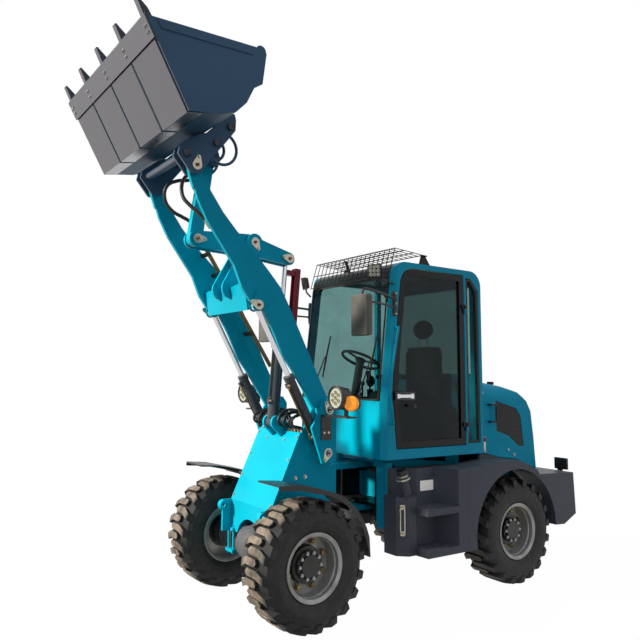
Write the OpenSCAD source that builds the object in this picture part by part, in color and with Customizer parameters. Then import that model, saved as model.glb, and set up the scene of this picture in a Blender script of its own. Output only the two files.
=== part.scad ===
// Compact articulated wheel loader: one-piece twin-plate arm with a Z-bar linkage,
// quick coupler and toothed bucket in front, closed cab and rounded hood behind.
// Millimetres. +X forward, +Y left, +Z up. Stations are written from the front
// axle's middle and the ground, and one shift puts the origin under the middle.

/* [Node] */
// Piece to draw

/* [Machine] */
// Distance between the two axles
wheelbase = 2050; // [1900:10:2200]
// Distance between the left and the right wheels' middle planes
track = 1170; // [1130:5:1220]
// Distance of the articulation pin behind the front axle
pivot_back = 1025; // [990:5:1050]
// Tail of the counterweight behind the rear axle
tail = 770; // [740:5:800]

/* [Wheels] */
// Tyre diameter over the lugs
tyre_od = 840; // [810:2:850]
// Tyre width at the sidewalls
tyre_w = 300; // [280:2:310]
// Rim diameter over the flanges
rim_od = 444; // [430:2:456]
// Rim width over the flanges
rim_w = 256; // [244:2:262]
// Lugs round each of a tyre's two rows
lug_count = 20; // [16:1:22]
// Height of the lugs above the carcass
lug_depth = 28; // [20:1:34]

/* [Loader arm] */
// Arm pivot behind the front axle
arm_back = 340; // [335:1:345]
// Arm pivot height
arm_z = 1414; // [1405:1:1425]
// Distance from the arm pivot to the tip pin
arm_len = 2000; // [1960:5:2040]
// Arm angle above level
arm_up = 55.75; // [50:0.25:58]
// Thickness of each arm plate
arm_t = 30; // [24:1:34]
// Distance of an arm plate's middle from the centre plane
arm_y = 337; // [335:1:339]

/* [Bucket] */
// Bucket width over the side plates
bucket_w = 1600; // [1560:10:1640]
// Bucket floor angle above level
bucket_up = 60.4; // [55:0.1:65]
// Bucket floor length from the heel to the edge
floor_len = 607; // [560:1:620]
// Side plate thickness
side_t = 16; // [12:1:20]

/* [Cylinders] */
// Lift cylinder barrel diameter
lift_od = 70; // [64:1:74]
// Tilt cylinder barrel diameter
tilt_od = 90; // [80:1:96]
// Chrome rod diameter
rod_d = 40; // [34:1:42]
// Barrel length from the base pin to the gland
barrel_len = 640; // [620:5:650]

/* [Cab] */
// Cab width over the sides
cab_w = 1120; // [1100:5:1140]
// Cab roof height above the ground
roof_z = 2580; // [2540:5:2610]
// Cab wall and pillar depth
wall = 42; // [36:1:50]
// Glass thickness
glass = 6; // [4:1:8]

/* [Body] */
// Width over the step boxes and the counterweight
body_w = 1470; // [1450:5:1490]
// Hood width
hood_w = 1000; // [960:5:1040]
// Sheet thickness of the hood
sheet = 10; // [6:1:14]

/* [Hidden] */
$fn = 48;

tyre_r = tyre_od / 2;
rear_x = -wheelbase;
tail_x = rear_x - tail;
cab_y = cab_w / 2;
box_y = body_w / 2;
hood_y = hood_w / 2;
bucket_y = bucket_w / 2;
fit = 0.05;          // radial running clearance of a pin in a moving bore
seam = 1;            // gap between panels of one body

function dir(a) = [cos(a), sin(a)];
function turn(p, a) = [p[0] * cos(a) - p[1] * sin(a), p[0] * sin(a) + p[1] * cos(a)];
// Station a distance behind the rear axle
function back(d) = rear_x - d;

// Linkage pins, as [x, z]
arm_pin = [-arm_back, arm_z];
tip_pin = arm_pin + arm_len * dir(arm_up);
function arm_at(u, w) = arm_pin + turn([u, w], arm_up);
function bucket_at(u, w) = tip_pin + turn([u, w], bucket_up);
crank_pin = arm_at(1303, 305);
crank_front = crank_pin + 467 * dir(-3.3);
crank_rear = crank_pin + 345 * dir(194.6);
link_pin = tip_pin + 357 * dir(138.6);
lift_base = [-arm_back + 10, arm_z - 311];
lift_eye = arm_at(952, -90);
tilt_base = [-arm_back + 240, arm_z - 107];

// Bucket stations in its own frame: the tip pin is the origin, the floor is level
heel_x = 285;
floor_w = -134;
floor_t = 14;
edge_x = heel_x + floor_len;
tooth_reach = 118;

// Foremost corner of the teeth, and the shift that centres the box
front_x = bucket_at(edge_x + tooth_reach, floor_w - 2)[0];
origin_x = -(tail_x + front_x) / 2;

// ---------------------------------------------------------------- helpers
module at_origin() {
    translate([origin_x, 0, 0]) children();
}
module sides() {
    children();
    mirror([0, 1, 0]) children();
}
// Upright plate in the XZ plane from y to y + t
module upright(y, t) {
    translate([0, y + t, 0]) rotate([90, 0, 0]) linear_extrude(t) children();
}
// The same plate centred on the middle plane
module centred(w) {
    upright(-w / 2, w) children();
}
// Plate across the machine from x to x + t, drawn in Y and Z
module across(x, t) {
    translate([x, 0, 0]) rotate([90, 0, 90]) linear_extrude(t) children();
}
// Round bar along Y
module bar_y(p, y0, y1, r) {
    translate([p[0], y1, p[1]]) rotate([90, 0, 0]) cylinder(h = y1 - y0, r = r);
}
// Tangent outline of two round ends
module bar2d(a, ra, b, rb) {
    span = norm(b - a);
    phi = atan2(b[1] - a[1], b[0] - a[0]);
    lean = acos((ra - rb) / span);
    translate(a) circle(ra);
    translate(b) circle(rb);
    polygon([a + ra * dir(phi + lean), a + ra * dir(phi - lean),
        b + rb * dir(phi - lean), b + rb * dir(phi + lean)]);
}
// Straight strip between two points of a plane
module strip2d(a, b, t) {
    phi = atan2(b[1] - a[1], b[0] - a[0]);
    half = t / 2 * dir(phi + 90);
    polygon([a + half, a - half, b - half, b + half]);
}
// Its local +Z runs from the base to the eye, its +X to the front and down
module along(base, eye, y) {
    lean = atan2(eye[0] - base[0], eye[1] - base[1]);
    translate([base[0], y, base[1]]) rotate([0, lean, 0]) children();
}
module rod_xz(a, b, y, r) {
    along(a, b, y) cylinder(h = norm(b - a), r = r);
}
// Round tube through points of space, with a ball at each bend
module tube(points, r) {
    for (i = [1 : len(points) - 1]) {
        step = points[i] - points[i - 1];
        span = norm(step);
        translate(points[i - 1])
            rotate([0, acos(step[2] / span), atan2(step[1], step[0])])
                cylinder(h = span, r = r);
        if (i < len(points) - 1) translate(points[i]) sphere(r = r + 0.3);
    }
}
// Rectangle with rounded corners
module soft_rect(x0, z0, x1, z1, r) {
    translate([x0 + r, z0]) square([x1 - x0 - 2 * r, z1 - z0]);
    translate([x0, z0 + r]) square([x1 - x0, z1 - z0 - 2 * r]);
    for (x = [x0 + r, x1 - r], z = [z0 + r, z1 - r]) translate([x, z]) circle(r);
}
module box(x0, x1, y0, y1, z0, z1) {
    translate([x0, y0, z0]) cube([x1 - x0, y1 - y0, z1 - z0]);
}
// Teardrop plate that keeps a pin from turning, on the face at y, with its bolt
module lock_plate(p, y, a) {
    tip = p + 56 * dir(a);
    upright(y - 1, 7) bar2d(p, 34, tip, 14);
    bar_y(tip, y + 5, y + 13, 9);
}

// ---------------------------------------------------------------- wheels
bead_r = rim_od / 2 - 17;
hub_y = 455;          // inner face of a turning hub from the centre plane
spindle_r = 42;
crown_half = 70;      // half width of the flat part of the tread
shoulder_half = 134;

// One lug over the carcass: [across the tread from the middle, along the rolling way]
lug_plan = [[146, -60], [146, -11], [64, 25], [-44, 23], [-60, 2], [-44, -21], [66, -23]];
// Outline of the carcass from the bead to the middle: [radius, half width]
carcass = [[bead_r, rim_w / 2 - 11], [rim_od / 2, rim_w / 2 - 11],
    [tyre_r - 160, tyre_w / 2 - 7], [tyre_r - 120, tyre_w / 2], [tyre_r - 80, tyre_w / 2 - 3],
    [tyre_r - 48, shoulder_half - 4], [tyre_r - lug_depth, crown_half + 4]];

module tyre_shape() {
    rows = len(carcass) - 1;
    rotate([90, 0, 0]) {
        rotate_extrude() polygon(concat(
            [for (p = carcass) [p[0], -p[1]]],
            [for (i = [rows : -1 : 0]) carcass[i]]));
        intersection() {
            rotate_extrude() polygon([[300, -shoulder_half], [tyre_r - 60, -tyre_w / 2 + 2],
                [tyre_r - 12, -shoulder_half], [tyre_r, -crown_half], [tyre_r, crown_half],
                [tyre_r - 12, shoulder_half], [tyre_r - 60, tyre_w / 2 - 2],
                [300, shoulder_half]]);
            for (side = [1, -1], i = [0 : lug_count - 1])
                rotate([0, 0, (i + (side > 0 ? 0 : 0.5)) * 360 / lug_count])
                    translate([tyre_r - 68, 0, 0]) rotate([0, 90, 0]) linear_extrude(78)
                        polygon([for (p = lug_plan) [side * p[0], p[1]]]);
        }
    }
}
// Left-hand wheel: its outer face looks along +Y
module rim_shape() {
    out = rim_w / 2;
    hub_in = hub_y - track / 2;
    rotate([90, 0, 0]) mirror([0, 0, 1]) {
        rotate_extrude() polygon([
            [bead_r - 9, -out + 9], [rim_od / 2 - 8, -out], [rim_od / 2, -out],
            [rim_od / 2, -out + 10], [bead_r, -out + 10], [bead_r, out - 10],
            [rim_od / 2, out - 10], [rim_od / 2, out], [rim_od / 2 - 8, out],
            [bead_r - 9, out - 9], [bead_r - 9, out - 40], [bead_r - 14, out - 48],
            [bead_r - 14, -10], [120, -10], [120, 40], [96, 40],
            [96, 62], [70, 62], [70, 78], [0, 78], [0, 30], [spindle_r + fit, 30],
            [spindle_r + fit, hub_in], [105, hub_in], [105, -22], [bead_r - 14, -22],
            [bead_r - 14, -out + 48], [bead_r - 9, -out + 40]]);
        for (i = [0 : 9]) rotate([0, 0, i * 36])
            translate([84, 0, 58]) cylinder(h = 16, r = 9, $fn = 6);
        for (i = [0 : 7]) rotate([0, 0, i * 45 + 22.5])
            translate([150, 0, -12]) cylinder(h = 20, r = 13, $fn = 6);
    }
}
module wheel_at(x, left) {
    translate([x, (left ? 1 : -1) * track / 2, tyre_r])
        mirror([0, left ? 0 : 1, 0]) children();
}

// ---------------------------------------------------------------- axles
pad_in = 210;         // the axles' pads under the frame walls
pad_out = 320;
pad_top = tyre_r + 64;

module axle_shape(x) {
    spindle_end = track / 2 + 28;
    translate([x, 0, tyre_r]) {
        sides() {
            rotate([-90, 0, 0]) cylinder(h = spindle_end, r = spindle_r);
            rotate([-90, 0, 0]) cylinder(h = hub_y - 60, r = 62);
            translate([0, hub_y - 62, 0]) rotate([-90, 0, 0]) cylinder(h = 56, r = 100);
            translate([0, hub_y - 112, 0]) rotate([-90, 0, 0]) cylinder(h = 52, r = 82);
            translate([-70, pad_in, -70]) cube([140, pad_out - pad_in, 134]);
        }
        rotate([90, 0, 0]) cylinder(h = 250, r = 130, center = true);
        sphere(r = 150);
    }
}
// Studs beside a pad, with the clamp plate under it
module axle_clamp(x, top) {
    for (dx = [-88, 88], y = [pad_in + 18, pad_out - 18])
        translate([x + dx, y, tyre_r - 104]) cylinder(h = top - tyre_r + 104, r = 10);
    box(x - 108, x + 108, pad_in, pad_out, tyre_r - 92, tyre_r - 70 - seam);
}

// ---------------------------------------------------------------- front frame
wall_y = 289;         // outer face of the frame walls
wall_t = 20;
tower_y = 378;        // inner face of the outer tower plates
tower_t = 20;
foot_z = tyre_r + 65;
deck_z = 1215;
nose_x = 165;
frame_back = -490;
lug_reach = 30;

module tower_outline() {
    polygon([[-403, 1030], [-280, 1030], [-183, 1285], [-285, 1462], [-315, 1490],
        [-365, 1490], [-403, 1440]]);
}
module front_wall_outline() {
    polygon([[70, 715], [nose_x, 715], [nose_x, foot_z], [-150, foot_z],
        [-150, foot_z + 75], [frame_back, foot_z + 75], [frame_back, 1003], [-420, 1003],
        [-403, 1030], [-403, 1440], [-365, 1490], [-315, 1490], [-285, 1462],
        [-183, 1262], [-166, 1230]]);
}
module tilt_ear_outline(grow) {
    bar2d(tilt_base, 52 + grow, [-190, 1235], 60 + grow);
}
module hinge_lug(z, t) {
    translate([0, 0, z]) linear_extrude(t) difference() {
        union() {
            polygon([[frame_back + 20, 120], [frame_back + 20, -120],
                [-pivot_back - lug_reach, -75], [-pivot_back - lug_reach, 75]]);
            translate([-pivot_back, 0]) circle(85);
        }
        translate([-pivot_back, 0]) circle(40 + fit);
    }
}
module front_frame() {
    inner = wall_y - wall_t;
    color("teal") at_origin() difference() {
        union() {
            sides() {
                upright(inner, wall_t) front_wall_outline();
                upright(tower_y, tower_t) tower_outline();
                box(-403, -385, wall_y, tower_y, 1030, 1330);
                for (p = [arm_pin, lift_base]) {
                    bar_y(p, inner, tower_y + tower_t + 8, 25);
                    lock_plate(p, tower_y + tower_t, p[1] == arm_z ? 60 : -60);
                }
                upright(46, 22) tilt_ear_outline(0);
                bar_y([150, 672], 262, 310, 40);
                box(-110, 110, pad_in, pad_out, pad_top + 2, pad_top + 24);
                axle_clamp(0, pad_top + 46);
            }
            box(frame_back, frame_back + 20, -inner, inner, foot_z + 75, 1003);
            box(-403, -170, -inner, inner, deck_z, deck_z + 20);
            box(70, 90, -inner, inner, foot_z, 715);
            hinge_lug(931, 43);
            hinge_lug(591, 43);
            bar_y(tilt_base, -68, 68, 22);
        }
        translate([0, 0, tyre_r]) rotate([0, 90, 0])
            cylinder(h = 400, r = 185, center = true);
        translate([0, 0, tyre_r]) rotate([90, 0, 0])
            cylinder(h = 900, r = 68, center = true);
        sides() bar_y([150, 672], 200, 330, 22);
    }
}
module front_panel() {
    color("turquoise") at_origin() difference() {
        centred(2 * wall_y) polygon([[-166, 1230], [70, 715], [85, 715], [-158, 1246],
            [-172, 1246]]);
        sides() upright(45, 24) tilt_ear_outline(1);
    }
}
module front_axle() {
    color("dimgray") at_origin() axle_shape(0);
}
// Arc round the wheel, then a straight flare forward; drawn at two depths
module fender_outline(r) {
    drop = 490 - r;
    polygon(concat([for (a = [164 : -8 : 100]) [0, tyre_r] + r * dir(a)],
        [[113, 945 - drop], [281, 958 - drop], [281, 700], [0, tyre_r], [-480, tyre_r]]));
}
module front_fenders() {
    color("black") at_origin() sides() {
        upright(432, 268) difference() {
            fender_outline(490);
            fender_outline(479);
        }
        upright(692, 8) difference() {
            fender_outline(490);
            fender_outline(458);
        }
        for (a = [135, 97])
            bar_y([0, tyre_r] + 468 * dir(a), wall_y, 640, 13);
    }
}
lamp_y = 650;
lamp_z = 1510;
module head_lamps() {
    face = tower_y + tower_t;
    color("black") at_origin() sides() {
        box(-356, -264, face, face + 8, 1200, 1380);
        box(-356, -264, face, lamp_y + 50, 1368, 1380);
        translate([-300, lamp_y, 1378]) cylinder(h = 70, r = 16);
        translate([-296, lamp_y, lamp_z]) rotate([0, 90, 0]) cylinder(h = 62, r = 70);
        translate([-236, lamp_y, lamp_z]) rotate([0, 90, 0]) cylinder(h = 23, r = 82);
        translate([-262, lamp_y, lamp_z]) rotate([0, 90, 0]) cylinder(h = 28, r = 76);
        box(-352, -282, lamp_y - 40, lamp_y + 44, 1432, 1512);
        bar_y([-311, 1471], lamp_y + 40, lamp_y + 80, 46);
    }
}
// Hydraulic hoses that leave the deck and return to it: [y, radius of the bend]
hose_r = 11;
module hoses() {
    color("black") at_origin() sides() for (h = [[122, 46], [182, 52], [238, 46]]) {
        x0 = -196;
        translate([x0 - h[1], h[0], deck_z + 46]) rotate([90, 0, 0])
            rotate_extrude(angle = 180) translate([h[1], 0]) circle(hose_r);
        for (x = [x0, x0 - 2 * h[1]])
            translate([x, h[0], deck_z + 20]) cylinder(h = 27, r = 15, $fn = 6);
    }
}

// ---------------------------------------------------------------- arm and linkage
// Stations along the arm: distance from the pivot, underside, top side
arm_table = [
    [60, -82, 60], [356, -84, 92], [534, -98, 112], [802, -100, 142], [959, -118, 153],
    [1120, -126, 128], [1279, -96, 99], [1475, -106, 52], [1637, -114, 26],
    [1803, -98, 20], [1940, -62, 30]];
arm_hub = 68;         // width of the arm's eyes at the pivot and round the lift rods
ear_t = 12;
crank_in = 66;        // inner face of the plates that hold the bellcrank
crank_t = 20;

module arm_outline() {
    polygon(concat([for (s = arm_table) arm_at(s[0], s[1])],
        [for (i = [len(arm_table) - 1 : -1 : 0]) arm_at(arm_table[i][0], arm_table[i][2])]));
    translate(arm_pin) circle(68);
    bar2d(tip_pin, 56, arm_at(1880, -40), 46);
}
// Way of the lift rod and its eye through the arm, up to its highest line
module lift_slot_outline() {
    polygon([arm_at(480, -100), arm_at(738, -68), arm_at(956, -56), arm_at(1002, -88),
        arm_at(1002, -260), arm_at(480, -260)]);
    translate(lift_eye) circle(46);
}
module loader_arm() {
    ear_in = arm_y - arm_hub / 2;
    color("teal") at_origin() difference() {
        union() {
            sides() {
                difference() {
                    union() {
                        upright(arm_y - arm_t / 2, arm_t) arm_outline();
                        upright(ear_in, arm_hub) bar2d(lift_eye, 44, arm_at(985, -20), 60);
                    }
                    upright(ear_in + ear_t, arm_hub - 2 * ear_t) lift_slot_outline();
                }
                for (y = [ear_in - 6, ear_in + arm_hub - 1])
                    bar_y(lift_eye, y, y + 7, 30);
                upright(crank_in, crank_t) bar2d(crank_pin, 66, arm_at(1105, -60), 78);
                bar_y(crank_pin, crank_in - 6, crank_in + crank_t + 6, 30);
                lock_plate(crank_pin, crank_in + crank_t, 240);
                upright(ear_in, arm_hub) translate(arm_pin) circle(62);
                upright(arm_y - 21, 50) translate(tip_pin) circle(50);
            }
            // box beam between the plates, with a wing down to each lift eye
            centred(2 * ear_in + 2) polygon([arm_at(950, -150), arm_at(1118, -78),
                arm_at(1110, 20), arm_at(1010, 30), arm_at(930, -60)]);
            sides() upright(ear_in, 20) polygon([arm_at(1000, -40), arm_at(1110, -40),
                arm_at(1110, 18), arm_at(1010, 28)]);
            bar_y(crank_pin, -crank_in - crank_t, crank_in + crank_t, 25);
        }
        sides() {
            bar_y(arm_pin, 200, 500, 25 + fit);
            bar_y(tip_pin, 200, 500, 24 + fit);
        }
    }
}
// Two pipes on the far side of the beam, held by three clamps
arm_pipe_ys = [-192, -222];
module arm_pipes() {
    clamp_in = arm_y - arm_t / 2;
    color("silver") at_origin() {
        for (y = arm_pipe_ys) rod_xz(arm_at(340, 62), arm_at(1440, 62), y, 9);
        for (u = [640, 1180, 1360])
            upright(-clamp_in, clamp_in - 176) polygon([arm_at(u, 48), arm_at(u + 34, 48),
                arm_at(u + 34, 57), arm_at(u, 57)]);
    }
}
crank_y = 34;         // inner face of the bellcrank's plates
module bellcrank() {
    knee = crank_pin + [40, -20];
    color("teal") at_origin() difference() {
        union() {
            sides() {
                upright(crank_y, 20) {
                    bar2d(crank_front, 60, knee, 82);
                    bar2d(crank_rear, 50, knee, 82);
                }
                bar_y(crank_rear, crank_y + 15, crank_y + 26, 28);
            }
            bar_y(crank_pin, -58, 58, 42);
            bar_y(crank_front, -60, 60, 22);
        }
        bar_y(crank_pin, -100, 100, 25 + fit);
    }
}
link_half = 28;
module tilt_link() {
    color("teal") at_origin() difference() {
        centred(2 * link_half) bar2d(crank_front, 52, link_pin, 48);
        bar_y(crank_front, -100, 100, 22 + fit);
    }
}
coupler_in = 294;     // faces of the coupler's inner and outer plates
coupler_out = 388;
coupler_t = 16;
module coupler_outline() {
    polygon([bucket_at(62, -86), bucket_at(117, -96), bucket_at(158, -60),
        bucket_at(186, 100), bucket_at(176, 183), bucket_at(206, 290), bucket_at(268, 380),
        bucket_at(230, 450), bucket_at(190, 441), bucket_at(121, 399), bucket_at(72, 291),
        bucket_at(-3, 109), bucket_at(-59, 12), bucket_at(-56, -36), bucket_at(-31, -69)]);
}
// Loops of the tool hoses, hung on the cross tube: [along, up, radius, y]
hose_loops = [[80, 345, 82, 112], [62, 385, 122, 152]];
module coupler() {
    color("slategray") at_origin() difference() {
        union() {
            sides() {
                for (y = [coupler_in, coupler_out - coupler_t])
                    upright(y, coupler_t) coupler_outline();
                upright(link_half + 4, 22) polygon([bucket_at(-40, 320), bucket_at(-10, 395),
                    bucket_at(120, 420), bucket_at(170, 290), bucket_at(160, 150),
                    bucket_at(90, 165), bucket_at(0, 290)]);
                bar_y(link_pin, link_half + 14, link_half + 34, 30);
                bar_y(tip_pin, coupler_in, coupler_out + 6, 24);
                lock_plate(tip_pin, coupler_out, 100);
                bar_y(bucket_at(99, -28), coupler_in - 9, coupler_out + 7, 34);
                bar_y(bucket_at(150, 300), link_half + 14, coupler_out - 8, 24);
                for (l = hose_loops)
                    translate([bucket_at(l[0], l[1])[0], l[3], bucket_at(l[0], l[1])[1]])
                        rotate([90, 0, 0]) rotate_extrude() translate([l[2], 0]) circle(hose_r);
            }
            bar_y(bucket_at(99, -28), -coupler_in, coupler_in, 30);
            bar_y(bucket_at(140, 180), -coupler_in - 8, coupler_in + 8, 22);
        }
        bar_y(bucket_at(91, 214), -400, 400, 17);
    }
}
function bucket_points(table) = [for (p = table) bucket_at(p[0], p[1])];
// Outside of the shell from the lip to the upper edge: [along, up]
shell_out = [[edge_x - 30, floor_w], [heel_x, floor_w], [240, -20], [200, 92], [186, 183],
    [218, 287], [292, 391], [400, 478], [489, 540]];
shell_in = [[495, 528], [408, 466], [304, 383], [230, 282], [199, 182], [213, 95],
    [252, -12], [heel_x + 9, floor_w + floor_t], [edge_x - 30, floor_w + floor_t]];
module bucket_side_outline() {
    polygon(bucket_points([[edge_x, floor_w], [heel_x, floor_w], [200, 92], [186, 183],
        [218, 287], [292, 391], [298, 465], [470, 592], [489, 596], [539, 531]]));
    translate(bucket_at(502, 561)) circle(38);
}
module bucket() {
    wear_w = (bucket_w - 2 * side_t - 3 * 24) / 4;
    color("slategray") at_origin() {
        centred(bucket_w - 2 * side_t) polygon(bucket_points(concat(shell_out, shell_in)));
        sides() {
            upright(bucket_y - side_t, side_t) bucket_side_outline();
            // stiffener along the side plate's upper edge
            upright(bucket_y - 1, 7) polygon(bucket_points([
                [edge_x - 45, floor_w + 55], [535, 508], [492, 486], [edge_x - 102, floor_w + 59]]));
        }
        // wear plates under the floor, turned up at the heel
        for (i = [0 : 3]) upright(-bucket_y + side_t + i * (wear_w + 24), wear_w)
            polygon(bucket_points([[edge_x - 150, floor_w + 1], [edge_x - 150, floor_w - 10],
                [heel_x - 4, floor_w - 10], [246, -44], [255, -40], [heel_x + 2, floor_w + 1]]));
        // square tube along the upper edge
        centred(bucket_w - 2 * side_t) polygon(bucket_points([[455, 515], [489, 540],
            [470, 566], [436, 541]]));
    }
}
module cutting_edge() {
    tooth_step = bucket_w / 4 - 20;
    color("gray") at_origin() {
        centred(bucket_w + 10) polygon(bucket_points([[edge_x - 140, floor_w - 16],
            [edge_x, floor_w - 16], [edge_x + 14, floor_w], [edge_x - 140, floor_w]]));
        for (i = [-2 : 2]) upright(i * tooth_step - 22, 44) polygon(bucket_points([
            [edge_x - 26, floor_w - 6], [edge_x + 8, floor_w - 6],
            [edge_x + tooth_reach, floor_w - 2], [edge_x + tooth_reach, floor_w + 10],
            [edge_x + 40, floor_w + 40], [edge_x - 20, floor_w + 44],
            [edge_x - 110, floor_w + 30], [edge_x - 110, floor_w + floor_t],
            [edge_x - 26, floor_w + floor_t]]));
    }
}

// ---------------------------------------------------------------- cylinders
gland_len = 40;
module barrel_shape(base, eye, y, r, base_half) {
    along(base, eye, y) difference() {
        union() {
            translate([0, 0, 30]) cylinder(h = barrel_len - 30, r = r);
            translate([0, 0, barrel_len - gland_len]) cylinder(h = gland_len, r = r + 5);
            rotate([90, 0, 0]) cylinder(h = 2 * base_half, r = r - 4, center = true);
        }
        translate([0, 0, 70]) cylinder(h = barrel_len - 100, r = r - 8);
        translate([0, 0, 70]) cylinder(h = barrel_len, r = rod_d / 2 + fit);
    }
}
// Feed pipe along the barrel's underside, with a block at each end
module feed_pipe(base, eye, y, r) {
    along(base, eye, y) {
        translate([r + 9, 8, 150]) cylinder(h = barrel_len - 190, r = 7);
        for (z = [140, barrel_len - 76]) translate([r - 6, -8, z]) cube([24, 28, 34]);
    }
}
module rod_shape(base, eye, y, r, start, eye_half, eye_r) {
    span = norm(eye - base);
    along(base, eye, y) {
        translate([0, 0, start]) cylinder(h = span - start - eye_r / 2, r = rod_d / 2);
        translate([0, 0, start]) cylinder(h = 40, r = r - 8 - fit);
    }
    bar_y(eye, y - eye_half, y + eye_half, eye_r);
}
module lift_barrels() {
    color("dimgray") at_origin() difference() {
        sides() {
            barrel_shape(lift_base, lift_eye, arm_y, lift_od / 2, 34);
            feed_pipe(lift_base, lift_eye, arm_y, lift_od / 2);
        }
        sides() bar_y(lift_base, 200, 500, 25 + fit);
    }
}
module lift_rods() {
    color("silver") at_origin() sides()
        rod_shape(lift_base, lift_eye, arm_y, lift_od / 2, 545, 15, 38);
}
module tilt_barrel() {
    color("dimgray") at_origin() difference() {
        union() {
            barrel_shape(tilt_base, crank_rear, 0, tilt_od / 2, 40);
            feed_pipe(tilt_base, crank_rear, 0, tilt_od / 2);
        }
        bar_y(tilt_base, -100, 100, 22 + fit);
    }
}
module tilt_rod() {
    color("silver") at_origin()
        rod_shape(tilt_base, crank_rear, 0, tilt_od / 2, 530, link_half, 42);
}
// Channel that is folded down onto the rod to hold the arm up
module safety_strut() {
    span = norm(crank_rear - tilt_base);
    half = 29;
    color("firebrick") at_origin() along(tilt_base, crank_rear, 0) {
        difference() {
            translate([-134, -half, span - 590]) cube([48, 2 * half, 530]);
            translate([-128, -half + 6, span - 600]) cube([60, 2 * half - 12, 510]);
        }
        difference() {
            translate([-100, -half + 6, span - 122]) cube([104, 2 * half - 12, 40]);
            translate([0, 0, span - 130]) cylinder(h = 60, r = rod_d / 2 + 0.5);
            translate([-12, -half, span - 130]) cube([60, 2 * half, 60]);
        }
    }
}

// ---------------------------------------------------------------- rear frame
post_x = -880;        // front faces of the rear frame and of the side boxes
beam_y = 210;
cab_floor_z = 1044;
frame_top = 1000;
hinge_x = -pivot_back - 125;

module rear_frame() {
    tail_in = back(510);
    color("teal") at_origin() {
        sides() {
            box(post_x - 25, post_x, 300, 416, 505, frame_top);
            upright(beam_y, 20) polygon([[post_x - 60, 560], [post_x - 60, frame_top],
                [back(-930), frame_top], [tail_in, 870], [tail_in, 560]]);
            box(rear_x - 108, rear_x + 108, pad_in, pad_out, pad_top + 2, pad_top + 24);
            box(rear_x - 60, rear_x + 60, beam_y + 10, pad_out - 40, pad_top + 20, 600);
            axle_clamp(rear_x, pad_top + 46);
            for (z = [[940, frame_top], [560, 620]]) {
                box(post_x - 60, post_x - 40, beam_y + 10, 416, z[0], z[1]);
                box(post_x - 50, post_x - 25, 290, 416, z[0], z[1]);
            }
            for (x = [post_x - 80, -1780])
                box(x, x + 50, beam_y + 15, 330, frame_top - 60, cab_floor_z);
        }
        for (z = [905, 979, 565, 639])
            translate([0, 0, z]) linear_extrude(21) polygon([[post_x - 60, -beam_y - 1],
                [hinge_x, -beam_y - 1], [hinge_x, beam_y + 1], [post_x - 60, beam_y + 1],
                [post_x - 60, 120], [post_x - 20, 0], [post_x - 60, -120]]);
        for (z = [560, 900])
            translate([-pivot_back, 0, z]) cylinder(h = 104, r = 40);
        box(hinge_x - 30, hinge_x, -beam_y, beam_y, 560, frame_top);
        box(tail_in, tail_in + 30, -beam_y, beam_y, 560, 870);
    }
}
module engine_block() {
    color("gray") at_origin() box(back(450), back(-150), -200, 200, 640, 1350);
}
module rear_axle() {
    color("dimgray") at_origin() axle_shape(rear_x);
}

// ---------------------------------------------------------------- cab
cab_rear = -1835;
shield_low = [-727, 1478];      // foot and head of the windshield
shield_high = [-832, 2440];
cab_toe = -730;
cab_top = roof_z - 14;
corner = 38;          // depth of the corners between windshield and pillars
door_rear = -1622;
door_low = 1120;
hinge_pin = [-1625, cab_y + 10];
rounding = 130;

// Stations of the windshield's plane
function shield_x(z) = shield_low[0]
    + (z - shield_low[1]) * (shield_high[0] - shield_low[0]) / (shield_high[1] - shield_low[1]);

module cab_outline(in) {
    crown_z = cab_top - rounding;
    polygon([[cab_rear + in, cab_floor_z + in], [cab_rear + in, crown_z],
        [cab_rear + rounding, cab_top - in], [shield_x(crown_z) - rounding, cab_top - in],
        [shield_x(crown_z) - in, crown_z], shield_low - [in, 0],
        [cab_toe - in, cab_floor_z + in]]);
    translate([cab_rear + rounding, crown_z]) circle(rounding - in);
    translate([shield_x(crown_z) - rounding, crown_z]) circle(rounding - in);
}
module door_outline(grow) {
    polygon(concat([[door_rear - grow, door_low - grow], [door_rear - grow, 2519 + grow]],
        [for (a = [90 : -10 : 10]) [-1044, 2380] + (139 + grow) * dir(a)],
        [[-838 + grow, 1800], [-818 + grow, 1540], [-858 + grow, door_low - grow]]));
}
module quarter_outline(grow) {
    polygon([[-1650 + grow, 1130 - grow], [-1650 + grow, 2500 + grow],
        [-1710, 2500 + grow], [-1800 - grow, 2400], [-1800 - grow, 1130 - grow]]);
}
// Wedges that bevel the front corners along the windshield's slope
module corner_wedge() {
    lean = atan2(shield_low[0] - shield_high[0], shield_high[1] - shield_low[1]);
    translate([shield_low[0], cab_y, shield_low[1]]) for (part = [[-lean, 0, 1200], [0, -600, 602]])
        rotate([0, part[0], 0]) translate([0, 0, part[1]]) linear_extrude(part[2])
            polygon([[20, -corner - 28], [20, 20], [-corner - 18, 20], [0, -corner - 8]]);
}
module cab_shell() {
    difference() {
        centred(cab_w) cab_outline(0);
        centred(cab_w - 2 * wall) cab_outline(wall);
        sides() corner_wedge();
        // roof opening, closed by its own panel
        box(cab_rear + rounding, -1010, -cab_y + 70, cab_y - 70, roof_z - 100, roof_z + 20);
        upright(cab_y - wall - 1, wall + 2) door_outline(3);
        upright(-cab_y - 1, wall + 2) door_outline(-20);
        sides() upright(cab_y - wall - 1, wall + 2) quarter_outline(0);
        // windshield and rear window
        box(-1000, -600, -cab_y + wall + 2, cab_y - wall - 2, shield_low[1], shield_high[1]);
        box(cab_rear - 10, cab_rear + wall + 10, -cab_y + 90, cab_y - 90, 1700, 2440);
    }
}
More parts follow.
